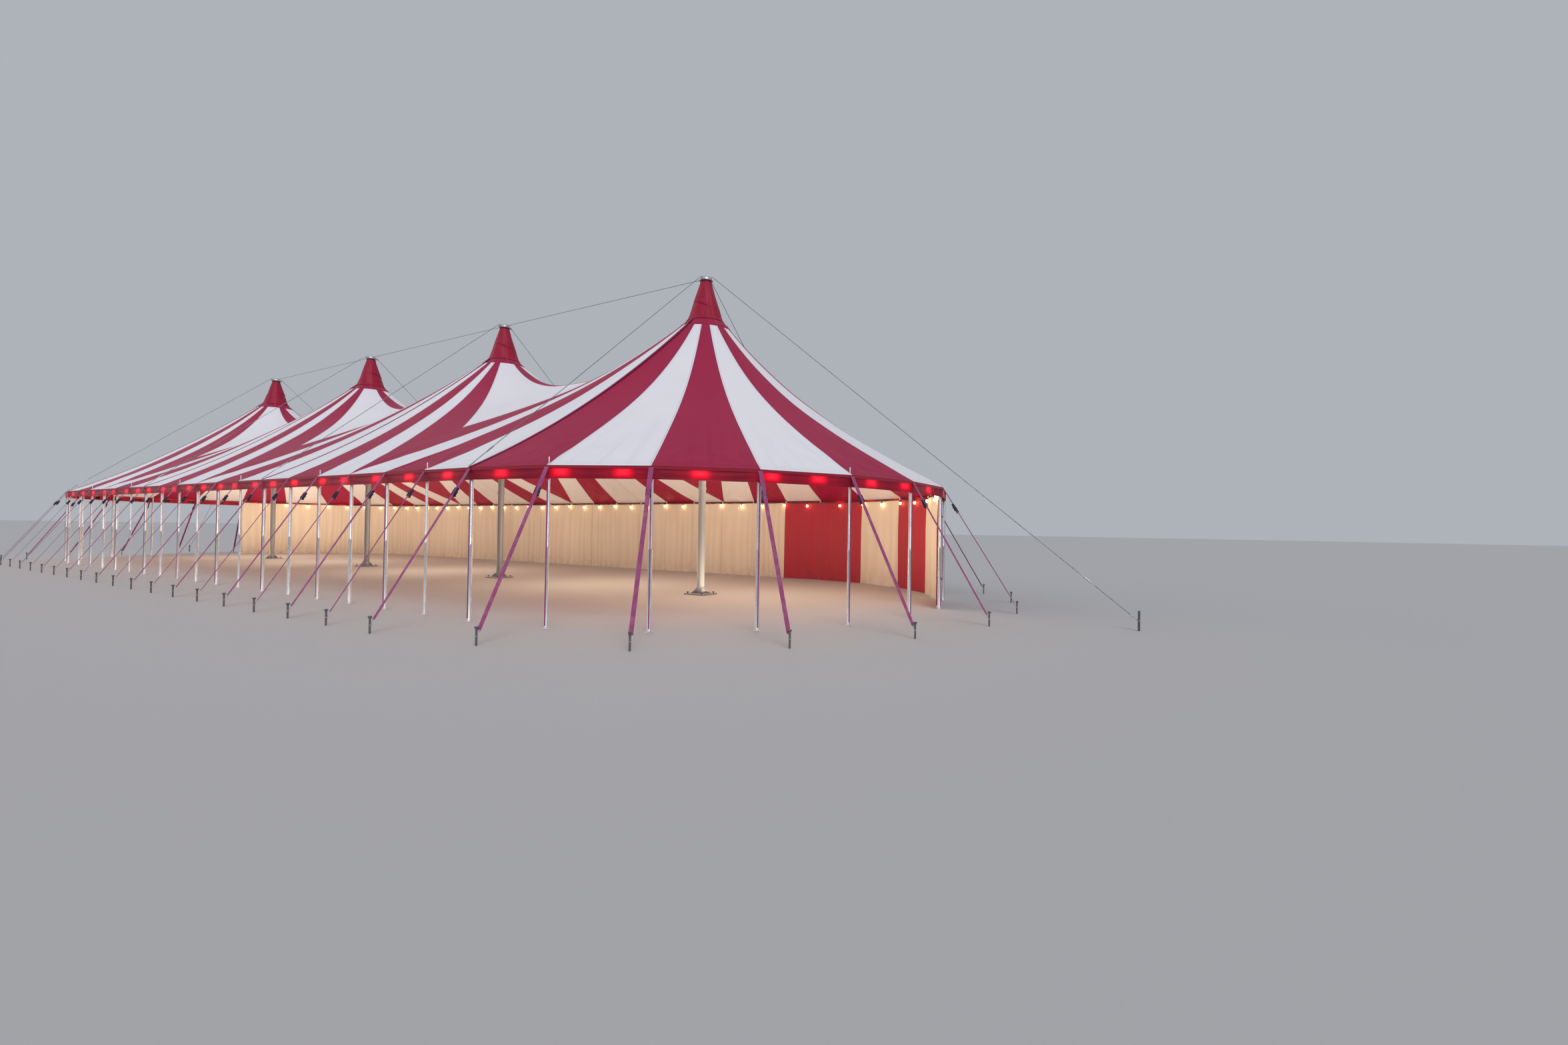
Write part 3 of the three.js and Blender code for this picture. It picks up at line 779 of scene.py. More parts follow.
def ray(stop, t):  # the cloth lies flat over the ring, then falls and bends to the slope at its stop
    x, y, z, slope, start = stop
    reach = math.hypot(x, y)
    run = reach - roof["ringRadius"]
    height = roof["ringHeight"] + (z - roof["ringHeight"]) * t * t * (3 - 2 * t)
    height = height + run * t * (1 - t) * (slope * t - start * (1 - t))
    lip = easing(run * t, roof["lip"] * 0.8, roof["lip"] * 4.2)
    height = lip * height + (1 - lip) * (roof["ringHeight"] - run * t * roof["ringSlope"])
    radius = roof["ringRadius"] + run * t
    return np.stack([radius * x / reach, radius * y / reach, height], axis=1)


def roofShares():
    first = roof["firstShares"]
    rest = np.linspace(0, 1, roof["rows"] + 1)[1:]
    return np.concatenate([first, first[-1] + (1 - first[-1]) * (1 - (1 - rest) ** 1.12)])


def creases(plan, heads, seed):  # soft folds that fan out over each side pole's head
    rise = np.zeros(len(plan))
    for k, head in enumerate(heads):
        away = plan - np.array(head)
        distance = np.hypot(away[:, 0], away[:, 1])
        turn = np.arctan2(away[:, 1], away[:, 0])
        fold = np.cos(turn * 11 + seed + k * 1.9) + 0.5 * np.cos(turn * 17 + k * 2.7)
        rise += roof["crease"] * fold * np.exp(-distance / roof["creaseReach"]) * easing(distance, 0.02, 0.3)
    x, y = plan[:, 0], plan[:, 1]
    rise += roof["ripple"] * np.sin(x * 2.1 + seed) * np.sin(y * 1.7 + 0.6 * np.sin(x * 1.3 + seed))
    rise += roof["ripple"] * 0.5 * np.sin(x * 4.7 + y * 3.1 + seed * 2)
    return rise


def roofFan(stops, firstIndex, heads, seed, isEnd):  # one fan of gores round a king pole
    shares = roofShares()
    rows = len(shares)
    per = roof["raysPerGore"]
    count = len(stops)
    lines = np.array([ray(stop, shares) for stop in stops])
    plan = lines[:, :, :2].reshape(-1, 2)
    runs = shares[None, :] * np.array([math.hypot(s[0], s[1]) - roof["ringRadius"] for s in stops])[:, None]
    if isEnd:
        fromEave = runs[:, -1:] - runs
        reach = np.hypot(plan[:, 0] / tent["endReach"], plan[:, 1] / halfWidth)
        fade = easing((1 - reach) * tent["endReach"], 0.06, 0.25)
    else:
        fromEave = halfWidth - np.abs(lines[:, :, 1])
        fade = easing(fromEave.reshape(-1), 0, 0.12)
    fade = fade * easing(plan[:, 0], 0.0, 0.3) * easing(np.hypot(plan[:, 0], plan[:, 1]), 0.6, 1.4)
    part = np.arange(count) % per / per
    pillow = roof["pillow"] * np.sin(np.pi * part)[:, None] * np.sin(np.pi * shares)[None, :]
    lines[:, :, 2] += pillow + (creases(plan, heads, seed) * fade).reshape(count, rows)
    faces, layers = [], {"gore": [], "seam": [], "edge": []}
    for i in range(count - 1):
        gore = i // per
        width = np.linalg.norm(lines[gore * per] - lines[gore * per + per], axis=1)
        left, right = (i % per) / per, (i % per + 1) / per
        for j in range(rows - 1):
            a, b = i * rows + j, (i + 1) * rows + j
            faces.append((a, a + 1, b + 1, b))
            corners = ((i, j, left), (i, j + 1, left), (i + 1, j + 1, right), (i + 1, j, right))
            layers["gore"].append([(firstIndex + gore + u, runs[m, n]) for m, n, u in corners])
            layers["seam"].append([(u * width[n], (1 - u) * width[n]) for m, n, u in corners])
            layers["edge"].append([(fromEave[m, n], 0.0) for m, n, u in corners])
    return lines, faces, layers


def canopySheet(name, fans):
    points, faces, layers = [], [], {"gore": [], "seam": [], "edge": []}
    count = 0
    for lines, found, maps in fans:
        points.append(lines.reshape(-1, 3))
        faces += [tuple(i + count for i in face) for face in found]
        for key in layers:
            layers[key] += maps[key]
        count += lines.shape[0] * lines.shape[1]
    place = np.array(home[name if "end" in name else f"front_{name}"])
    spots = np.concatenate(points) @ place[:3, :3].T + place[:3, 3]
    mesh = clothMesh(f"canopyCloth_{name}", spots, faces, layers, "roof")
    piece = thickened(f"canopyCloth_{name}", mesh, roof["thickness"])
    hand(piece, "striped_cloth", f"canopy_{name}")
    print("canopy made:", name)


def makeCanopies():
    per = roof["raysPerGore"]
    corner = math.atan2(halfWidth, halfSpan)
    angles = [corner if a is None else math.radians(a) for a in roof["spanAngles"]]
    marks = [-a for a in angles] + angles[::-1]
    turns = [a + (b - a) * k / per for a, b in zip(marks, marks[1:]) for k in range(per)] + [marks[-1]]
    heads = [(step * bay, side * halfWidth) for step in range(4) for side in (-1, 1)]
    heads += [(halfSpan + step * bay, side * halfWidth) for step in (1, 2) for side in (-1, 1)]
    squeeze = (halfSpan - tent["clothGap"]) / halfSpan
    for k, name in enumerate(tent["spans"]):
        lines, faces, layers = roofFan([spanStop(turn) for turn in turns], 1, heads, 0.7 + k, False)
        lines[:, :, 0] = (lines[:, :, 0] - halfSpan) * squeeze
        mirrored = lines * (-1, 1, 1)
        flipped = [face[::-1] for face in faces]
        maps = {key: [corners[::-1] for corners in value] for key, value in layers.items()}
        canopySheet(name, [(lines, faces, layers), (mirrored, flipped, maps)])

    steps = [g + k / per for g in range(endGores) for k in range(per)] + [endGores]
    for k, name in enumerate(("right_end", "left_end")):
        fan = roofFan([endStop(step) for step in steps], 0, [tuple(spot) for spot in endLine], 3.1 + k, True)
        fan[0][[0, -1], :, 0] = tent["clothGap"]
        canopySheet(name, [fan])


makeCanopies()


# Cone caps
capCloth = {
    "rows": [(0.567, 5.81), (0.55, 5.83), (0.533, 5.845), (0.515, 5.86), (0.495, 5.88), (0.473, 5.90),
             (0.450, 5.9235), (0.433, 5.9375), (0.422, 5.9455), (0.4245, 5.951), (0.426, 5.962),
             (0.417, 5.972), (0.402, 5.988), (0.386, 6.016), (0.369, 6.058), (0.354, 6.10), (0.278, 6.34),
             (0.152, 6.76), (0.136, 6.81), (0.128, 6.838), (0.123, 6.852), (0.122, 6.868),
             (0.1235, 6.878), (0.119, 6.889)],
    "step": 0.022,
    "sides": 112,
    "mapWidth": 2.4,
    "coneFrom": 6.0,
    "coneHeight": 0.84,
    "collarBelow": 5.944,
    # the heights of the two bands of painted shade
    "bands": [(5.944, 5.952), (6.845, 6.875)],
    "thickness": 0.003,
    "fold": 0.0085,
    "gathers": (22, 0.0035, 6.55, 6.87),  # number, depth, and the heights between which they show
    "ribs": (31, 0.0016),
    "crease": 0.023,
    "creaseAt": 6.265,
    "lift": 0.0048,
    "flat": (3.6, 1.4, 2.27),
}


def collarHeight(number, turn, radius):  # the height of the roof cloth near its ring, at a plan angle
    turn = (turn + math.pi) % math.tau - math.pi
    rightward = abs(turn) <= math.pi / 2
    if not rightward:
        turn = (math.pi if turn > 0 else -math.pi) - turn
    if rightward and number == 3 or not rightward and number == 0:
        stop = endStop((turn + math.pi / 2) * endGores / math.pi)
    else:
        stop = spanStop(turn)
    share = (radius - roof["ringRadius"]) / (math.hypot(stop[0], stop[1]) - roof["ringRadius"])
    return ray(stop, np.array([share]))[0, 2]


def capProfile():  # the cap's outline, with rows close enough together for its creases
    profile = [capCloth["rows"][0]]
    for (r0, z0), (r1, z1) in zip(capCloth["rows"], capCloth["rows"][1:]):
        count = max(1, math.ceil((z1 - z0) / capCloth["step"]))
        profile += [(r0 + (r1 - r0) * k / count, z0 + (z1 - z0) * k / count) for k in range(1, count + 1)]
    return profile


def capPoint(number, turn, radius, z):  # with folds, gathers under the head, ribs and a slanting crease
    cone = min(max((z - capCloth["coneFrom"]) / capCloth["coneHeight"], 0.0), 1.0)
    fold = math.sin(turn * 5 + number) * 0.6 + math.sin(turn * 9 + 2 * number + z * 1.5) * 0.5
    fold += 0.8 * math.sin(turn * 3 + z * 7.5 + number * 1.3)
    count, depth, low, high = capCloth["gathers"]
    grow = max(0.0, (z - low) / (tent["poleTop"] - low)) if z < high else 0.0
    gathers = math.sin(turn * count) * depth * grow
    shift = number - 3
    slant = z - capCloth["creaseAt"] - 0.11 * math.sin(turn + 4.09 + shift * 0.9)
    slant = math.exp(-((slant / 0.026) ** 2)) - 0.6 * math.exp(-(((slant - 0.055) / 0.03) ** 2))
    crease = capCloth["crease"] * slant * (0.5 + 0.5 * math.cos(turn * 2 + 2.2 + shift * 1.3))
    count, depth = capCloth["ribs"]
    rib = math.sin(turn * count + number) * depth * cone * (1 - cone) * 4
    wide = radius + (capCloth["fold"] * fold * 0.8 - crease) * math.sin(math.pi * cone) + gathers + rib
    if radius > roof["ringRadius"]:
        z = collarHeight(number, turn, radius) + capCloth["lift"]
    return tent["poles"][number] + wide * math.cos(turn), wide * math.sin(turn), z


def makeCaps():
    sides, breadth = capCloth["sides"], capCloth["mapWidth"]
    profile = capProfile()
    runs = [0.0]
    for low, high in zip(profile, profile[1:]):
        runs.append(runs[-1] + math.dist(low, high))
    for number in range(len(tent["poles"])):
        points, faces, maps, looks = [], [], [], []
        for radius, z in profile:
            points += [capPoint(number, k * math.tau / sides, radius, z) for k in range(sides)]
        for i, (_, low) in enumerate(profile[:-1]):
            # rows in either band get the darker cloth, painted shade
            band = any(a <= low < b for a, b in capCloth["bands"])
            for k in range(sides):
                n = (k + 1) % sides
                a, b = i * sides, (i + 1) * sides
                faces.append((a + k, a + n, b + n, b + k))
                u0, u1 = k / sides * breadth, (k + 1) / sides * breadth
                maps.append([(u0, runs[i]), (u1, runs[i]), (u1, runs[i + 1]), (u0, runs[i + 1])])
                looks.append(2 if low < capCloth["collarBelow"] else 1 if band else 0)
        mesh = clothMesh(f"capCloth_{number + 1}", points, faces, {"cloth": maps}, "cap")
        mesh.materials.append(finish["capShadeBand"])
        mesh.materials.append(finish["collar"])
        mesh.polygons.foreach_set("material_index", np.array(looks, dtype=np.int32))
        piece = thickened(f"capCloth_{number + 1}", mesh, capCloth["thickness"])
        hand(piece, "red_cloth", f"cone_cap_{number + 1}")
    print("caps made:", len(tent["poles"]))


makeCaps()


# Hanging cloth: valance and sidewalls
valance = {
    "top": 2.2975,
    "bottom": 2.1115,
    "rows": 9,
    "hemRows": (0, 0.004, 0.018, 0.022),
    "depth": 0.004,
    "thickness": 0.0016,
    "pitch": 0.045,
    "endCut": 0.002,
    "billow": 0.010,
    "drape": 0.035,
    "drapes": 62,
    "drapeDepth": 0.0028,
    "lampLevel": 2.208,
    "frontLamps": [-10.03, -8.96, -7.96, -6.88, -6.07, -4.95, -4.03, -3.19, -2.16, -1.4, -0.45,
                   0.45, 1.4, 2.16, 3.19, 4.03, 4.95, 6.07, 6.88, 7.96, 8.96, 10.03],
    "endLamps": [0.42, 1.13, 1.73, 2.44, 3.12, 3.62, 4.3, 4.86, 5.5, 6.3, 7.13, 7.7, 8.4, 9.13, 9.8, 10.55],
    "flatSide": (21.18, 0.19),
    "flatEnd": (17.0, 0.19),
}


def cornerRuns(line):  # how far along a plan line each of its corners lies
    runs = [0.0]
    for a, b in zip(line, line[1:]):
        runs.append(runs[-1] + (b - a).length)
    return runs


def alongLine(line, pitch, extra=()):  # spots along a plan line with their run and inward way
    corners = cornerRuns(line)
    total = corners[-1]
    marks = set(corners) | {round(s, 6) for s in extra if 0 < s < total}
    marks |= {total * k / math.ceil(total / pitch) for k in range(math.ceil(total / pitch) + 1)}
    kept = []
    for mark in sorted(marks):
        if not kept or mark - kept[-1] > 0.006:
            kept.append(mark)
        elif mark in corners:
            kept[-1] = mark
    found = []
    for mark in kept:
        i = max(k for k in range(len(line) - 1) if corners[k] <= mark + 1e-9)
        share = (mark - corners[i]) / (corners[i + 1] - corners[i])
        ways = [line[i + 1] - line[i]]
        if share < 1e-6 and i > 0:
            ways.append(line[i] - line[i - 1])
        normals = [Vector((-way.y, way.x)).normalized() for way in ways]
        mitre = sum(normals, Vector((0, 0))).normalized()
        found.append((mark, line[i].lerp(line[i + 1], min(share, 1.0)), mitre / mitre.dot(normals[0])))
    return found


def hangingSheet(name, line, place, heights, shape, layers, material, settings, extra):
    spots = alongLine(line, settings["pitch"], extra)
    points, faces = [], []
    rows = len(heights)
    for mark, spot, inward in spots:
        for z in heights:
            flat = spot + inward * shape(mark, z)
            points.append(place @ Vector((flat.x, flat.y, z)))
    maps = {key: [] for key in layers}
    for i in range(len(spots) - 1):
        start, end = spots[i][0], spots[i + 1][0]
        for j in range(rows - 1):
            a, b = i * rows + j, (i + 1) * rows + j
            faces.append((a, b, b + 1, a + 1))
            corners = ((start, heights[j]), (end, heights[j]), (end, heights[j + 1]), (start, heights[j + 1]))
            for key, rule in layers.items():
                maps[key].append([rule(mark, z, (start + end) / 2) for mark, z in corners])
    return thickened(name, clothMesh(name, points, faces, maps, material), settings["thickness"])


def makeValances():
    top, bottom = valance["top"], valance["bottom"]
    hem, rows = valance["hemRows"], valance["rows"]
    heights = [bottom + step for step in hem]
    heights += [heights[-1] + (top - bottom - hem[-1]) * k / rows for k in range(1, rows + 1)]
    poleRuns = [sideEnd - lastPole + k * bay for k in range(sideBays + 1)]
    frontLamps = [x + sideEnd for x in valance["frontLamps"]]
    corners = cornerRuns(endLine)
    rightLamps = [float(np.interp(step, range(endGores + 1), corners)) for step in valance["endLamps"]]
    leftLamps = sorted(corners[-1] - run for run in rightLamps)
    cut = shortened(endLine, valance["endCut"], valance["endCut"])
    sheets = [
        ("front", sideLine, at(0, 0), frontLamps, poleRuns, valance["flatSide"]),
        ("back", sideLine, at(0, 0, 0, math.pi), [], poleRuns, valance["flatSide"]),
        ("right_end", cut, home["right_end"], rightLamps, corners, valance["flatEnd"]),
        ("left_end", cut, home["left_end"], leftLamps, corners, valance["flatEnd"]),
    ]
    for seed, (name, line, place, lamps, holds, flat) in enumerate(sheets):
        def belly(mark, z, holds=holds, seed=seed):
            low = (top - z) / (top - bottom)
            after = next((hold for hold in holds if hold > mark), holds[-1])
            before = max((hold for hold in holds if hold <= mark), default=holds[0])
            free = min(abs(mark - before) / 0.3, abs(after - mark) / 0.3, 1.0)
            between = math.sin(math.pi * (mark - before) / max(after - before, 0.01))
            sway = math.sin(mark * 3.1 + seed) * 0.5 + math.sin(mark * 7.3 + seed * 2) * 0.3
            level = z + valance["drape"] * between + 0.012 * math.sin(before * 5.0 + seed)
            droop = math.sin(level * valance["drapes"]) * valance["drapeDepth"] * min(between * 2.5, 1.0)
            lift = -valance["billow"] * free * low * low * (0.45 + 0.55 * sway)
            return valance["depth"] + lift + droop * min(low * 3, 1.0)

        def cloth(mark, z, middle):
            return mark, z - bottom

        def lampMap(mark, z, middle, lamps=lamps):
            near = min(lamps, key=lambda run: abs(run - middle)) if lamps else middle + 5
            return mark - near, z - valance["lampLevel"]

        gaps = [(a + b) / 2 for a, b in zip(lamps, lamps[1:])]
        piece = hangingSheet(f"valanceCloth_{name}", line, place, heights, belly,
                             {"cloth": cloth, "lamp": lampMap}, "valance", valance, gaps + holds)
        hand(piece, "red_cloth", f"valance_{name}")
        carrier = f"canopyCloth_{name}" if "end" in name else "canopyCloth_middle"
    print("valances made")


makeValances()

wall = {
    "top": 2.24,
    "bottom": 0.012,
    "rows": 26,
    "depth": 0.0755,
    "pitch": 0.04,
    "endCut": 0.016,
    "pleat": 0.034,
    "steepest": 0.2,
    "thickness": 0.0016,
    "red": {"back_right": [(5, 6)], "right_end": [(6, 7), (8, 9), (10, 11)]},
    "flatBack": (7.1, 2.24),
    "flatEnd": (7.5, 2.24),
}


def pleats(mark, z, seed):
    low = (wall["top"] - z) / wall["top"]
    grow = min(1.0, 0.25 + low * 2.2)
    wander = math.sin(mark * 2.3 + seed) * 2.4 + 0.35 * math.sin(z * 2.1 + mark)
    wave = 0.5 + 0.5 * math.sin(mark * 13.0 + wander)
    swing = 0.5 + 0.5 * math.sin(mark * 4.3 + seed * 1.7 + z * 0.5)
    foot = 0.018 * math.exp(-z / 0.12) * (0.5 + 0.5 * math.sin(mark * 11.0 + seed))
    return wall["depth"] + wall["pleat"] * grow * (0.65 * wave + 0.5 * swing) + foot


def makeWalls():
    bottom, top, rows = wall["bottom"], wall["top"], wall["rows"]
    heights = [bottom + (top - bottom) * k / rows for k in range(rows + 1)]
    gap, cut = tent["clothGap"], wall["endCut"]
    backLine = [spanLine[0] + Vector((gap, 0)), spanLine[1] - Vector((gap, 0))]
    backPoles = [bay * k for k in range(tent["bays"] + 1)]
    runs = [(f"back_{side}", backLine, backPoles, 0) for side in tent["spans"]]
    for name, first, last, cuts in (("right_end", 6, 11, (0, cut)), ("left_end", 0, 5, (cut, 0))):
        line = shortened(endLine[first:last + 1], *cuts)
        runs.append((name, line, cornerRuns(line), first))
    for seed, (name, line, poles, first) in enumerate(runs):
        red = [(poles[a - first], poles[b - first]) for a, b in wall["red"].get(name, [])]
        if "back" in name:
            red = [(tent["spacing"] - b, tent["spacing"] - a) for a, b in red]

        def shape(mark, z, seed=seed):
            return pleats(mark, z, seed)

        def panelAndShade(mark, z, middle, red=red, shape=shape):  # its colour, and how steeply it turns into a fold, which sets the painted shade on the fold's flanks
            steep = abs(shape(mark + 0.01, z) - shape(mark - 0.01, z)) / 0.02 / wall["steepest"]
            return (1.0 if any(a < middle < b for a, b in red) else 0.0, min(steep, 1.0))

        def cloth(mark, z, middle, poles=poles):  # one bay of the map from pole to pole
            return bay * float(np.interp(mark, poles, range(len(poles)))), z

        layers = {"cloth": cloth, "panelAndShade": panelAndShade}
        edges = [edge for pair in red for edge in pair]
        piece = hangingSheet(f"wallCloth_{name}", line, home[name], heights, shape, layers,
                             "wall", wall, edges)
        hand(piece, "wall_cloth", f"sidewall_{name}")
        flat = wall["flatEnd"] if "end" in name else wall["flatBack"]
    print("sidewalls made")


makeWalls()


# Side poles, their spikes and the eave cable
pole = {
    "radius": 0.028,
    "thinRadius": 0.02,
    "inset": 0.045,
    "top": 2.2942,
    "foot": (0.052, 0.006),
    "collar": (1.12, 1.171, 0.0035),
    "spike": 0.125,
    "spikeRadius": 0.0088,
    "cableRadius": 0.005,
    "cableCut": 0.04,
}


def poleModel(name, radius):
    top = pole["top"]
    wide, thick = pole["foot"]
    low, high, proud = pole["collar"]
    outline = [(0, 0), (wide, 0), (wide, thick), (radius + 0.006, thick + 0.002), (radius + 0.004, 0.04),
               (radius, 0.046), (radius, low), (radius + proud, low + 0.006), (radius + proud, high - 0.006),
               (radius, high), (radius, top - 0.03), (radius - 0.003, top - 0.018),
               (radius - 0.004, top - 0.004), (radius - 0.008, top), (0, top)]
    return pattern(coloured(turnedPiece(name, outline, 20), "galvanised"))


def spikeModel():
    base = pole["top"] + 0.001
    tip = base + pole["spike"]
    thin = pole["spikeRadius"]
    outline = [(0, base), (0.030, base), (0.032, base + 0.012), (0.030, base + 0.02), (0.014, base + 0.024),
               (thin, base + 0.03), (thin, tip - 0.008), (0.0065, tip - 0.002), (0.002, tip), (0, tip)]
    return pattern(coloured(turnedPiece("spike", outline, 14), "galvanised"))


def makeSidePoles():
    wide = poleModel("widePole", pole["radius"])
    thin = poleModel("thinPole", pole["thinRadius"])
    spike = spikeModel()
    clip = pattern(coloured(ringPiece("clip", (0, 0, 0), 0.012, 0.0035, 14, (0, math.pi / 2, 0)), "castGrey"))
    for name, place in home.items():
        parts, spikes = [], []
        mitre = 1 / math.cos(math.pi / 26) if "end" in name else 1.0
        for spot, out, _, isThin in stations(name):
            foot = spot - out * (pole["inset"] * mitre)
            parts.append((thin if isThin else wide, place @ at(foot.x, foot.y)))
            turn = math.atan2(out.y, out.x) + math.pi / 2
            parts.append((clip, place @ at(foot.x, foot.y, tent["cableLevel"], turn)))
            if isThin:
                spikes.append((spike, place @ at(foot.x, foot.y)))
        path = eavePath(name, pole["inset"], pole["cableCut"])
        cable = [place @ Vector((*spot, tent["cableLevel"])) for spot in path]
        parts.append(tube(f"cable_{name}", cable, pole["cableRadius"], "wire"))
        hand(gather(f"sidePoles_{name}", parts), "galvanised", f"side_poles_{name}")
        hand(gather(f"spikes_{name}", spikes), "galvanised")
    print("side poles made")


makeSidePoles()


# Guy straps, ratchets and stakes
strap = {
    "beltTop": 2.294,
    "beltHeight": 0.04,
    "beltThickness": 0.004,
    "beltGap": 0.0004,
    "beltCut": 0.044,
    "start": 0.007,
    "reach": 1.35,
    "foot": 0.112,
    "overlap": 0.07,
    "hookBack": 0.012,
    "wide": (0.068, 0.05848, 1.32),  # width above and below the ratchet, and the ratchet's own scale
    "narrow": (0.05, 0.032, 0.98),
    "thickness": 0.0034,
    "steps": 12,
    "ratchetAt": 0.16,
    "tail": (2.25, 0.05),
    "tailWidth": 0.018,
    "tailThickness": 0.0024,
    "stakeHeight": 0.23,
}


def ratchetModel():  # lies along +Z, its handle towards +Y
    plates = []
    for x in (-0.024, 0.024):
        plate = cubePiece("sidePlate", (x, 0.006, 0), (0.004, 0.04, 0.13))
        editPoints(plate, lambda co: co.z > 0.03 and co.y > 0)
        bpy.ops.transform.translate(value=(0, -0.012, 0))
        closeEdit()
        plates.append(coloured(softEdges(plate, 0.0015), "ratchetBody"))
    drum = rodPiece("drum", (0, 0.012, -0.035), 0.0135, 0.06, 16, (0, math.pi / 2, 0))
    sunkHole(drum, lambda centre, normal: abs(normal.x) > 0.9, 0.003, 0.002)
    handle = cubePiece("handle", (0, 0.028, 0.028), (0.052, 0.011, 0.085))
    sunkHole(handle, lambda centre, normal: normal.y > 0.9, 0.008, 0.004)
    grip = rodPiece("grip", (0, 0.03, 0.07), 0.009, 0.06, 12, (0, math.pi / 2, 0))
    return pattern(*plates, coloured(softEdges(drum, 0.001), "ratchetHandle"),
                   coloured(softEdges(handle, 0.002), "ratchetBody"),
                   coloured(softEdges(grip, 0.002), "ratchetHandle"))


def stakeModel():
    top = strap["stakeHeight"]
    outline = [(0, 0.0), (0.0135, 0.0), (0.0135, top - 0.03), (0.0175, top - 0.026), (0.027, top - 0.016),
               (0.028, top - 0.009), (0.022, top - 0.002), (0.010, top), (0, top)]
    ring = ringPiece("stakeRing", (0, 0, strap["foot"]), 0.021, 0.0042, 20)
    return pattern(coloured(turnedPiece("stakeShaft", outline, 14), "darkSteel"), coloured(ring, "castGrey"))


def hookModel():  # the flat hook that ties a strap's foot to its stake's ring, along +Z
    plate = cubePiece("hookPlate", (0, 0, 0.055), (0.046, 0.004, 0.03))
    sunkHole(plate, lambda centre, normal: abs(normal.y) > 0.9, 0.009, 0.001)
    stem = rodPiece("hookStem", (0, 0, 0.03), 0.0045, 0.04, 10)
    loop = ringPiece("hookLoop", (0, 0, 0.008), 0.012, 0.0042, 16, (math.pi / 2, 0, 0))
    return pattern(*[coloured(part, "castGrey") for part in (softEdges(plate, 0.001), stem, loop)])


def makeStraps():
    ratchet, stake, hook = ratchetModel(), stakeModel(), hookModel()
    level = strap["beltTop"] - strap["beltHeight"] / 2
    thick, steps = strap["thickness"], strap["steps"]
    for name, place in home.items():
        parts, ratchets = [], []
        path = eavePath(name, -strap["beltGap"] - strap["beltThickness"] / 2, strap["beltCut"])
        for a, b in zip(path, path[1:]):
            line = [place @ Vector((*a, level)), place @ Vector((*b, level))]
            parts.append(ribbon("belt", line, strap["beltHeight"], strap["beltThickness"], (0, 0, 1), "belt"))
        for spot, out, main, _ in stations(name):
            start = Vector((*(spot + out * strap["start"]), level))
            foot = Vector((*(spot + out * strap["reach"]), strap["foot"]))
            sideways = Vector((-out.y, out.x, 0))
            across = place.to_3x3() @ sideways
            along = (foot - start).normalized()
            run = [place @ start.lerp(foot - along * strap["overlap"], k / steps) for k in range(steps + 1)]
            high, low, broad = strap["wide" if main else "narrow"]
            mark = int(strap["ratchetAt"] * steps)
            parts.append(ribbon("strap", run[:mark + 2], high, thick, across, "strap"))
            parts.append(ribbon("strap", run[mark + 1:], low, thick, across, "strap"))
            face = sideways.cross(along).normalized()
            seat = Matrix.Translation(start.lerp(foot, strap["ratchetAt"])) @ facing(face, along)
            ratchets.append((ratchet, place @ seat @ Matrix.Diagonal((broad, 1.0, 1.0, 1.0))))
            tied = Matrix.Translation(foot - along * strap["hookBack"])
            parts.append((hook, place @ tied @ facing(face, -along)))
            parts.append((stake, place @ at(foot.x, foot.y)))
            if main:
                hang = spot - out * (pole["inset"] - pole["radius"] - 0.004)
                top, bottom = strap["tail"]
                tail = [place @ Vector((*hang, top + (bottom - top) * k / 6)) for k in range(7)]
                wide, thin = strap["tailWidth"], strap["tailThickness"]
                parts.append(ribbon("tail", tail, wide, thin, across, "strap"))
        hand(gather(f"guyStraps_{name}", parts), "webbing", f"guy_straps_{name}")
        hand(gather(f"ratchets_{name}", ratchets), "webbing")
    print("straps made")


makeStraps()


# King poles, pole heads and wires
mast = {
    "radius": 0.08,
    "plate": (0.52, 0.024),
    "socket": (0.018, 0.15),
    "bands": [2.28, 4.40],
    "bandHeight": 0.086,
    "ringTop": 5.87445,
    "ringHeight": 0.04,
    "ringInner": 0.44,
    "ringOuter": 0.48,
    "top": 6.8897,
    "pinAt": 0.2,
    "brim": 6.9088,
    "headTop": 6.9868,
    "lug": (0.33, 0.016, 0.05),
    "stayRing": (6.8912, 6.9076),
    "stayEar": 6.926,
    "stayAt": 0.181,
    "stayEnd": (5.506, 2.318),
    "stayScrew": 0.3,
    "endFoot": (8.45, 0.165),
    "endScrew": 0.75,
    "anchorAt": 8.48,
    "wireRadius": 0.0058,
    "wireFrom": 0.1,
    "wireStep": 0.8,
    "eyeAt": 0.02,
    "screwLength": 0.30,
}


def shackleModel():  # a bow with its pin, hanging along -Z from the pin
    bow = ringPiece("bow", (0, 0, -0.02), 0.017, 0.0045, 20, (math.pi / 2, 0, 0))
    editPoints(bow, lambda co: co.z > -0.019)
    bpy.ops.transform.translate(value=(0, 0, 0.014))
    bpy.ops.transform.resize(value=(0.86, 1, 1), center_override=(0, 0, 0))
    closeEdit()
    pin = rodPiece("pin", (0, 0, 0), 0.0045, 0.05, 12, (0, math.pi / 2, 0))
    editFaces(pin, lambda centre, normal: normal.x > 0.9)
    bpy.ops.mesh.inset(thickness=-0.003, depth=0)
    bpy.ops.mesh.extrude_region_move(TRANSFORM_OT_translate={"value": (0.007, 0, 0)})
    closeEdit()
    return pattern(coloured(bow, "castGrey"), coloured(pin, "castGrey"))


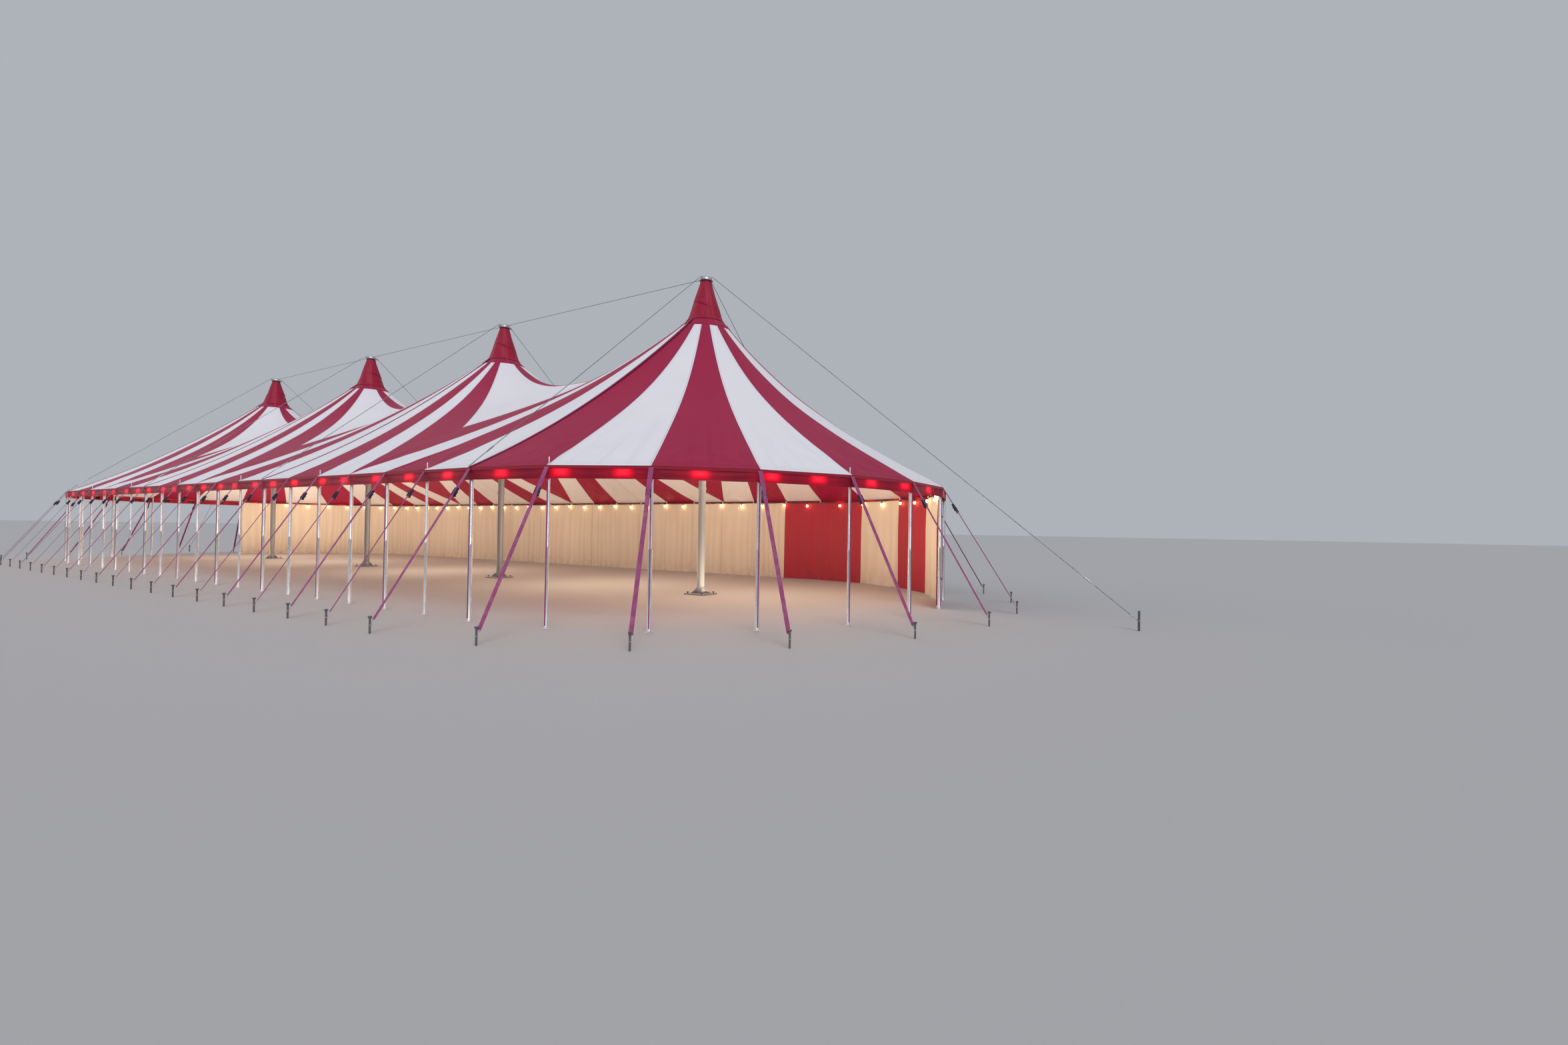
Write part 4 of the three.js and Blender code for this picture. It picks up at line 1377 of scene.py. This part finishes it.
def turnbuckleModel():  # from the origin up +Z, 0.26 long
    body = rodPiece("screwBody", (0, 0, 0.13), 0.013, 0.15, 12)
    editFaces(body, lambda centre, normal: abs(normal.z) < 0.5)
    bpy.ops.mesh.subdivide(number_cuts=2)
    editPoints(body, lambda co: abs(co.z - 0.13) < 0.04)
    bpy.ops.transform.resize(value=(0.62, 1, 1))
    closeEdit()
    parts = [softEdges(body, 0.002)]
    parts += [rodPiece("screw", (0, 0, z), 0.0065, 0.07, 10) for z in (0.035, 0.225)]
    parts += [ringPiece("eye", (0, 0, z), 0.014, 0.0048, 16, (math.pi / 2, 0, 0)) for z in (0.0, 0.26)]
    return pattern(*[coloured(part, "castGrey") for part in parts])


def ferruleModel():  # a pressed sleeve and a teardrop eye at a wire's end, from the origin up +Z
    eye = ringPiece("thimble", (0, 0, 0.012), 0.017, 0.0045, 18, (math.pi / 2, 0, 0))
    editPoints(eye, lambda co: co.z > 0.02)
    bpy.ops.transform.resize(value=(0.45, 1, 1), center_override=(0, 0, 0))
    bpy.ops.transform.translate(value=(0, 0, 0.02))
    closeEdit()
    outline = [(0, 0.045), (0.008, 0.045), (0.0105, 0.05), (0.0105, 0.085), (0.008, 0.09), (0, 0.09)]
    return pattern(coloured(eye, "castGrey"), coloured(turnedPiece("sleeve", outline, 12), "castGrey"))


shackle, turnbuckle, ferrule = shackleModel(), turnbuckleModel(), ferruleModel()


def mastModel():  # the pole, its foot plate and the hoop with spokes that lifts the cloth
    side, thick = mast["plate"]
    plate = cubePiece("footPlate", (0, 0, thick / 2), (side, side, thick))
    parts = [coloured(softEdges(plate, 0.003), "mast")]
    top, low = mast["ringTop"], mast["ringTop"] - mast["ringHeight"]
    level = (top + low) / 2
    r = mast["radius"]
    wide, high = mast["socket"]
    outline = [(0, 0.02), (r + wide, 0.02), (r + wide, high), (r + wide - 0.006, high + 0.008),
               (r, high + 0.012)]
    for z in mast["bands"]:
        end = z + mast["bandHeight"]
        outline += [(r, z), (r + 0.008, z + 0.006), (r + 0.008, end - 0.006), (r, end)]
    end = mast["top"]
    outline += [(r, level - 0.034), (0.108, level - 0.03), (0.112, level - 0.024), (0.112, level + 0.024),
                (0.108, level + 0.03), (r, level + 0.034), (r, end - 0.0097), (r - 0.006, end), (0, end)]
    parts.append(coloured(turnedPiece("mastTube", outline, 32), "mast"))
    inner, outer = mast["ringInner"], mast["ringOuter"]
    hoop = [(inner + 0.006, low), (outer - 0.006, low), (outer, low + 0.006), (outer, top - 0.006),
            (outer - 0.006, top), (inner + 0.006, top), (inner, top - 0.006), (inner, low + 0.006),
            (inner + 0.006, low)]
    parts.append(coloured(turnedPiece("baleRing", hoop, 64), "castGrey"))
    for i in range(4):
        turn = math.pi / 4 + i * math.pi / 2
        out = Vector((math.cos(turn), math.sin(turn), 0))
        spoke = cubePiece("spoke", out * 0.28 + Vector((0, 0, level)), (0.36, 0.024, 0.024), (0, 0, turn))
        parts.append(coloured(softEdges(spoke, 0.003), "mast"))
        gusset = cubePiece("gusset", out * 0.15 + Vector((0, 0, 0.074)), (0.14, 0.01, 0.10), (0, 0, turn))
        editPoints(gusset, lambda co, out=out: co.z > 0.1 and Vector((co.x, co.y, 0)).dot(out) > 0.15)
        bpy.ops.transform.translate(value=out * -0.11)
        closeEdit()
        parts.append(coloured(softEdges(gusset, 0.0015), "mast"))
        outline = [(0, 0.02), (0.012, 0.02), (0.012, 0.045), (0.024, 0.047), (0.026, 0.056), (0.02, 0.064),
                   (0, 0.066)]
        pin = turnedPiece("groundPin", outline, 12)
        editPoints(pin, lambda co: True)
        bpy.ops.transform.translate(value=out * (mast["pinAt"] * math.sqrt(2)))
        closeEdit()
        parts.append(coloured(pin, "darkSteel"))
    return pattern(*parts)


def headModel():  # a domed head with crossed lugs
    low, brim, top = tent["poleTop"] + 0.0004, mast["brim"], mast["headTop"]
    outline = [(0, low), (0.094, low), (0.095, brim), (0.127, brim), (0.130, brim + 0.003),
               (0.129, brim + 0.016), (0.126, brim + 0.032), (0.118, brim + 0.05), (0.106, brim + 0.063),
               (0.092, brim + 0.0725), (0.084, top), (0.03, top), (0.026, top), (0, top)]
    parts = [coloured(turnedPiece("dome", outline, 40), "castGrey")]
    for turn in (0, math.pi / 2):
        bar = cubePiece("lugBar", (0, 0, tent["wireLevel"]), mast["lug"], (0, 0, turn))
        parts.append(coloured(softEdges(bar, 0.005, 3), "castGrey"))
    return pattern(*parts)


def stayRingModel():  # the ring under the head that the side stays are shackled to
    low, high = mast["stayRing"]
    outline = [(0.099, low), (0.146, low), (0.15, low + 0.0038), (0.15, high - 0.0026), (0.146, high),
               (0.102, high), (0.099, high - 0.0026), (0.099, low)]
    parts = [turnedPiece("stayRing", outline, 36)]
    for side in (-1, 1):
        arm = cubePiece("stayArm", (0, side * 0.168, (low + high) / 2), (0.024, 0.05, 0.016))
        ear = cubePiece("stayEar", (0, side * 0.1774, mast["stayEar"]), (0.02, 0.008, 0.06))
        parts += [softEdges(arm, 0.002), softEdges(ear, 0.003)]
    return pattern(*[coloured(part, "castGrey") for part in parts])


def anchorModel():  # the square stake of an end stay
    shaft = cubePiece("anchorBar", (0, 0, 0.15), (0.034, 0.034, 0.30))
    editFaces(shaft, lambda centre, normal: normal.z > 0.9)
    bpy.ops.mesh.inset(thickness=-0.012, depth=0)
    bpy.ops.mesh.extrude_region_move(TRANSFORM_OT_translate={"value": (0, 0, 0.001)})
    closeEdit()
    ring = ringPiece("anchorRing", (0, 0, 0.15), 0.026, 0.005, 20)
    return pattern(coloured(softEdges(shaft, 0.003), "darkSteel"), coloured(ring, "castGrey"))


def wirePieces(start, end, screwAt=None):  # a wire with its eyes, shackles and, near one end, its tightener
    start, end = Vector(start), Vector(end)
    way = (end - start).normalized()
    eye = way * mast["eyeAt"]
    parts = [(shackle, turnTo(start, start - way)), (ferrule, turnTo(start + eye, end)),
             (shackle, turnTo(end, end + way)), (ferrule, turnTo(end - eye, start))]
    length = (end - start).length
    first, last = mast["wireFrom"], length - mast["wireFrom"]
    spans = [(first, last)]
    if screwAt:
        screw = length - screwAt - mast["screwLength"]
        spans = [(first, screw), (length - screwAt, last)]
        parts.append((turnbuckle, turnTo(start + way * (screw + mast["eyeAt"]), end)))
    for low, high in spans:
        count = max(2, int((high - low) / mast["wireStep"]))
        line = [start + way * (low + (high - low) * k / count) for k in range(count + 1)]
        parts.append(tube("wireRun", line, mast["wireRadius"], "wire"))
    return parts


def makeMasts():
    mastMesh, headMesh, ringMesh, anchor = mastModel(), headModel(), stayRingModel(), anchorModel()
    level, reach = tent["wireLevel"], mast["stayAt"]
    for number, x in enumerate(tent["poles"], 1):
        hand(gather(f"kingMast_{number}", [(mastMesh, at(x, 0))]), "steel", f"king_pole_{number}")
        hand(gather(f"mastHead_{number}", [(headMesh, at(x, 0))]), "galvanised", f"pole_head_{number}")
        parts = [(ringMesh, at(x, 0))]
        for side in (-1, 1):
            y, z = mast["stayEnd"]
            parts += wirePieces((x, side * reach, level), (x, side * y, z), mast["stayScrew"])
        hand(gather(f"stayWires_{number}", parts), "wire_rope", f"side_stays_{number}")
    for name, x in tent["spans"].items():
        parts = wirePieces((x - halfSpan + reach, 0, level), (x + halfSpan - reach, 0, level))
        hand(gather(f"ridgeWire_{name}", parts), "wire_rope", f"ridge_tie_{name}")
    for name, side in (("right", 1), ("left", -1)):
        x, z = mast["endFoot"]
        head, foot = (side * (lastPole + reach), 0, level), (side * (lastPole + x), 0, z)
        parts = wirePieces(head, foot, mast["endScrew"])
        parts.append((anchor, at(side * (lastPole + mast["anchorAt"]), 0)))
        hand(gather(f"endWire_{name}", parts), "wire_rope", f"end_stay_{name}")
    print("masts and wires made")


makeMasts()


# Laced joints between the roof pieces
lacing = {
    "flap": (0.082, 0.0035, 0.0028),  # width, thickness, and height above the cloth
    "edging": (0.021, 0.005, 0.0065),
    "loop": (0.022, 0.0032),
    "loopShape": (1.25, 0.4, 1),
    "loopDrop": 0.003,
    "loops": 0.21,
    "firstLoop": 0.15,
    "onRoof": (0.030, 0.997, 46),  # from and to, as shares of the way from the ring to the eave, and points
    "overCap": [(0.4375, 5.949), (0.455, 5.934), (0.477, 5.916), (0.50, 5.896), (0.525, 5.874),
                (0.55, 5.852), (0.575, 5.829), (0.595, 5.811)],
}


def makeLacing():
    loop = ringPiece("laceLoop", (0, 0, 0), *lacing["loop"], 12)
    editPoints(loop, lambda co: True)
    bpy.ops.transform.resize(value=lacing["loopShape"])
    closeEdit()
    loop = pattern(coloured(loop, "flap"))
    across = Vector((1, 0, 0))
    for number, x in enumerate(tent["poles"], 1):
        parts = []
        for side in (-1, 1):
            stop = (0.0, side * halfWidth, tent["eave"], roof["eaveSlope"], roof["ringSlope"])
            line = ray(stop, np.linspace(*lacing["onRoof"]))
            line = np.concatenate([[(0, side * r, z) for r, z in lacing["overCap"]], line])
            slopes = np.gradient(line[:, 2], np.abs(line[:, 1]))
            outward = [Vector((0, side * -s, 1)).normalized() for s in slopes]
            spots = [Vector((x, p[1], p[2])) for p in line]
            # the flap is wider than the cord on it, and its dark margins are partly painted shadow beside the
            # cord
            width, thickness, lift = lacing["flap"]
            flap = [p + n * lift for p, n in zip(spots, outward)]
            parts.append(ribbon("flap", flap, width, thickness, across, "flap"))
            width, thickness, lift = lacing["edging"]
            cord = [p + n * lift for p, n in zip(spots, outward)]
            parts.append(ribbon("edging", cord, width, thickness, across, "lace"))
            run, nextLoop = 0.0, lacing["firstLoop"]
            for before, spot, out in zip(cord, cord[1:], outward[1:]):
                run += (spot - before).length
                if run > nextLoop:
                    nextLoop += lacing["loops"]
                    way = (spot - before).normalized()
                    turn = facing(way, across.cross(way))
                    parts.append((loop, Matrix.Translation(spot - out * lacing["loopDrop"]) @ turn))
        hand(gather(f"lacing_{number}", parts), "red_cloth")
    print("lacing made")


makeLacing()


# Lamps behind the valance, bulbs and hanging rings along the eave
lamp = {
    "size": (0.23, 0.045, 0.10),
    "depth": 0.042,
    "level": 2.188,
    "fins": (-0.08, -0.048, -0.016, 0.016, 0.048, 0.08),
    "hooks": (-0.07, 0.07),
    "rings": (-10.45, 21.0, 0.34),  # the first, the length that they cover, and from one to the next
    "ringPlace": (5.437, 2.2525),
    "ringClear": 0.05,
    "stringDepth": 0.145,
    "stringLevel": 2.256,
    "stringSag": 0.03,
    "stringRadius": 0.0042,
    "tieRadius": 0.0025,
    "bulbPitch": 0.7844,
}


def lampModel():  # a flood lamp that faces -Y, hung from the eave cable
    box = cubePiece("lampBox", (0, 0, 0), lamp["size"])
    sunkHole(box, lambda centre, normal: normal.y < -0.9, 0.008, 0.006)
    back = lamp["size"][1] / 2
    lens = cubePiece("lampLens", (0, 0.005 - back, 0), (0.205, 0.003, 0.078))
    thin = [cubePiece("fin", (x, back + 0.004, 0), (0.004, 0.012, 0.085)) for x in lamp["fins"]]
    thin += [cubePiece("lampHook", (x, 0.0, 0.062), (0.014, 0.003, 0.03)) for x in lamp["hooks"]]
    box = coloured(softEdges(box, 0.003), "lampBox")
    lens = coloured(softEdges(lens, 0.001, 1), "lampLens")
    return pattern(box, lens, *[coloured(softEdges(part, 0.001, 1), "lampBox") for part in thin])


def bulbModel():  # hangs from the origin
    glass = [(0, -0.118), (0.012, -0.116), (0.024, -0.107), (0.0305, -0.092), (0.0315, -0.080),
             (0.027, -0.064), (0.018, -0.050), (0.0145, -0.044), (0, -0.044)]
    cup = [(0, -0.05), (0.017, -0.05), (0.0185, -0.046), (0.0185, -0.018), (0.012, -0.012),
           (0.007, -0.006), (0, -0.006)]
    clip = ringPiece("bulbClip", (0, 0, 0), 0.0085, 0.003, 12, (0, math.pi / 2, 0))
    return pattern(coloured(turnedPiece("bulbGlass", glass, 18), "bulb"),
                   coloured(turnedPiece("bulbCup", cup, 16), "lampBox"), coloured(clip, "lampBox"))


def makeStrings():  # bulbs on a sagging flex, along the back and the closed part of each end
    bulb = bulbModel()
    backLine = [Vector((-halfSpan + k * bay, -halfWidth)) for k in range(tent["bays"] + 1)]
    runs = [(f"back_{side}", backLine) for side in tent["spans"]]
    runs += [("right_end", endLine[6:]), ("left_end", endLine[:6])]
    for name, path in runs:
        place = home[name]
        hooks, parts = inset(path, lamp["stringDepth"]), []
        for hook, hold in zip(hooks, inset(path, pole["inset"])):
            ends = [place @ Vector((*hold, tent["cableLevel"])), place @ Vector((*hook, lamp["stringLevel"]))]
            parts.append(tube("stringTie", ends, lamp["tieRadius"], "lampBox", 6))
        done, nextBulb = 0.0, lamp["bulbPitch"] / 2
        for a, b in zip(hooks, hooks[1:]):
            def hung(share, a=a, b=b):
                sag = lamp["stringSag"] * 4 * share * (1 - share)
                return place @ Vector((*a.lerp(b, share), lamp["stringLevel"] - sag))

            flex = [hung(k / 12) for k in range(13)]
            parts.append(tube("string", flex, lamp["stringRadius"], "lampBox", 6))
            length = (b - a).length
            while nextBulb < done + length:
                parts.append((bulb, Matrix.Translation(hung((nextBulb - done) / length))))
                nextBulb += lamp["bulbPitch"]
            done += length
        hand(gather(f"bulbString_{name}", parts), "steel")


def makeLights():
    body = lampModel()
    level = lamp["level"]
    parts = [(body, at(x, -halfWidth + lamp["depth"], level)) for x in valance["frontLamps"]]
    hand(gather("lamps_front", parts), "steel")
    for name in ("right_end", "left_end"):
        parts = []
        for step in valance["endLamps"]:
            step = endGores - step if name == "left_end" else step
            low = int(step)
            way = (endLine[low + 1] - endLine[low]).normalized()
            spot = endPoint(step) + Vector((-way.y, way.x)) * lamp["depth"]
            parts.append((body, home[name] @ at(spot.x, spot.y, level, math.atan2(way.y, way.x))))
        hand(gather(f"lamps_{name}", parts), "steel")
    ring = ringPiece("wallRing", (0, 0, 0), 0.015, 0.0028, 14, (0, math.pi / 2, 0))
    ring = pattern(coloured(ring, "castGrey"))
    first, length, pitch = lamp["rings"]
    y, z = lamp["ringPlace"]
    places = [first + k * pitch for k in range(int(length / pitch))]
    poles = [lastPole - k * bay for k in range(sideBays + 1)]
    clear = [x for x in places if min(abs(x - spot) for spot in poles) > lamp["ringClear"]]
    hand(gather("wallRings_back", [(ring, at(x, y, z)) for x in clear]), "galvanised")
    print("lights made")


makeStrings()
makeLights()


# The studio
studio = {
    "floor": 400,
    "floorColour": (0.46, 0.455, 0.46),
    "sky": (0.50, 0.525, 0.575),
    "skyStrength": 0.85,
    "insideAt": (-12.0, -7.06, 0.0, 7.06, 12.0),
    "insideSize": (2.6, 3.6),
    "insideTint": (1.0, 0.79, 0.54),
    "inside": [(0.06, math.pi, 155), (2.95, 0.0, 88)],
    "suns": [("keySun", 1.35, 34, (48, 8, 42)), ("fillSun", 0.4, 60, (62, 0, -60))],
}


def makeLight(name, kind, power, turn):
    data = bpy.data.lights.new(name, kind)
    data.energy = power
    light = bpy.data.objects.new(name, data)
    light.rotation_euler = turn
    bpy.context.collection.objects.link(light)
    return light


def makeStudio():
    clearPick()
    bpy.ops.mesh.primitive_circle_add(vertices=96, radius=studio["floor"], fill_type="NGON",
                                      location=(0, 0, -0.002))
    floor = started("studioFloor")
    paint = Paint("studioFloor", {"Roughness": 0.9, "Specular IOR Level": 0.15})
    paint.show(Base_Color=studio["floorColour"])
    floor.data.materials.append(paint.material)
    world = bpy.data.worlds.new("studioSky")
    world.use_nodes = True
    background = world.node_tree.nodes["Background"]
    background.inputs["Color"].default_value = (*studio["sky"], 1)
    background.inputs["Strength"].default_value = studio["skyStrength"]
    bpy.context.scene.world = world
    bpy.context.scene.view_settings.view_transform = "Standard"
    for x in studio["insideAt"]:  # the warm light inside: one lamp up and one down at each place
        for height, turn, power in studio["inside"]:
            glow = makeLight("insideLight", "AREA", power, (turn, 0, 0))
            glow.data.shape = "RECTANGLE"
            glow.data.size, glow.data.size_y = studio["insideSize"]
            glow.data.color = studio["insideTint"]
            glow.location = (x, 0.3, height)
            glow.visible_camera = False
    for name, power, angle, turn in studio["suns"]:
        sun = makeLight(name, "SUN", power, [math.radians(v) for v in turn])
        sun.data.angle = math.radians(angle)


makeStudio()
print("studio made")

clearPick()
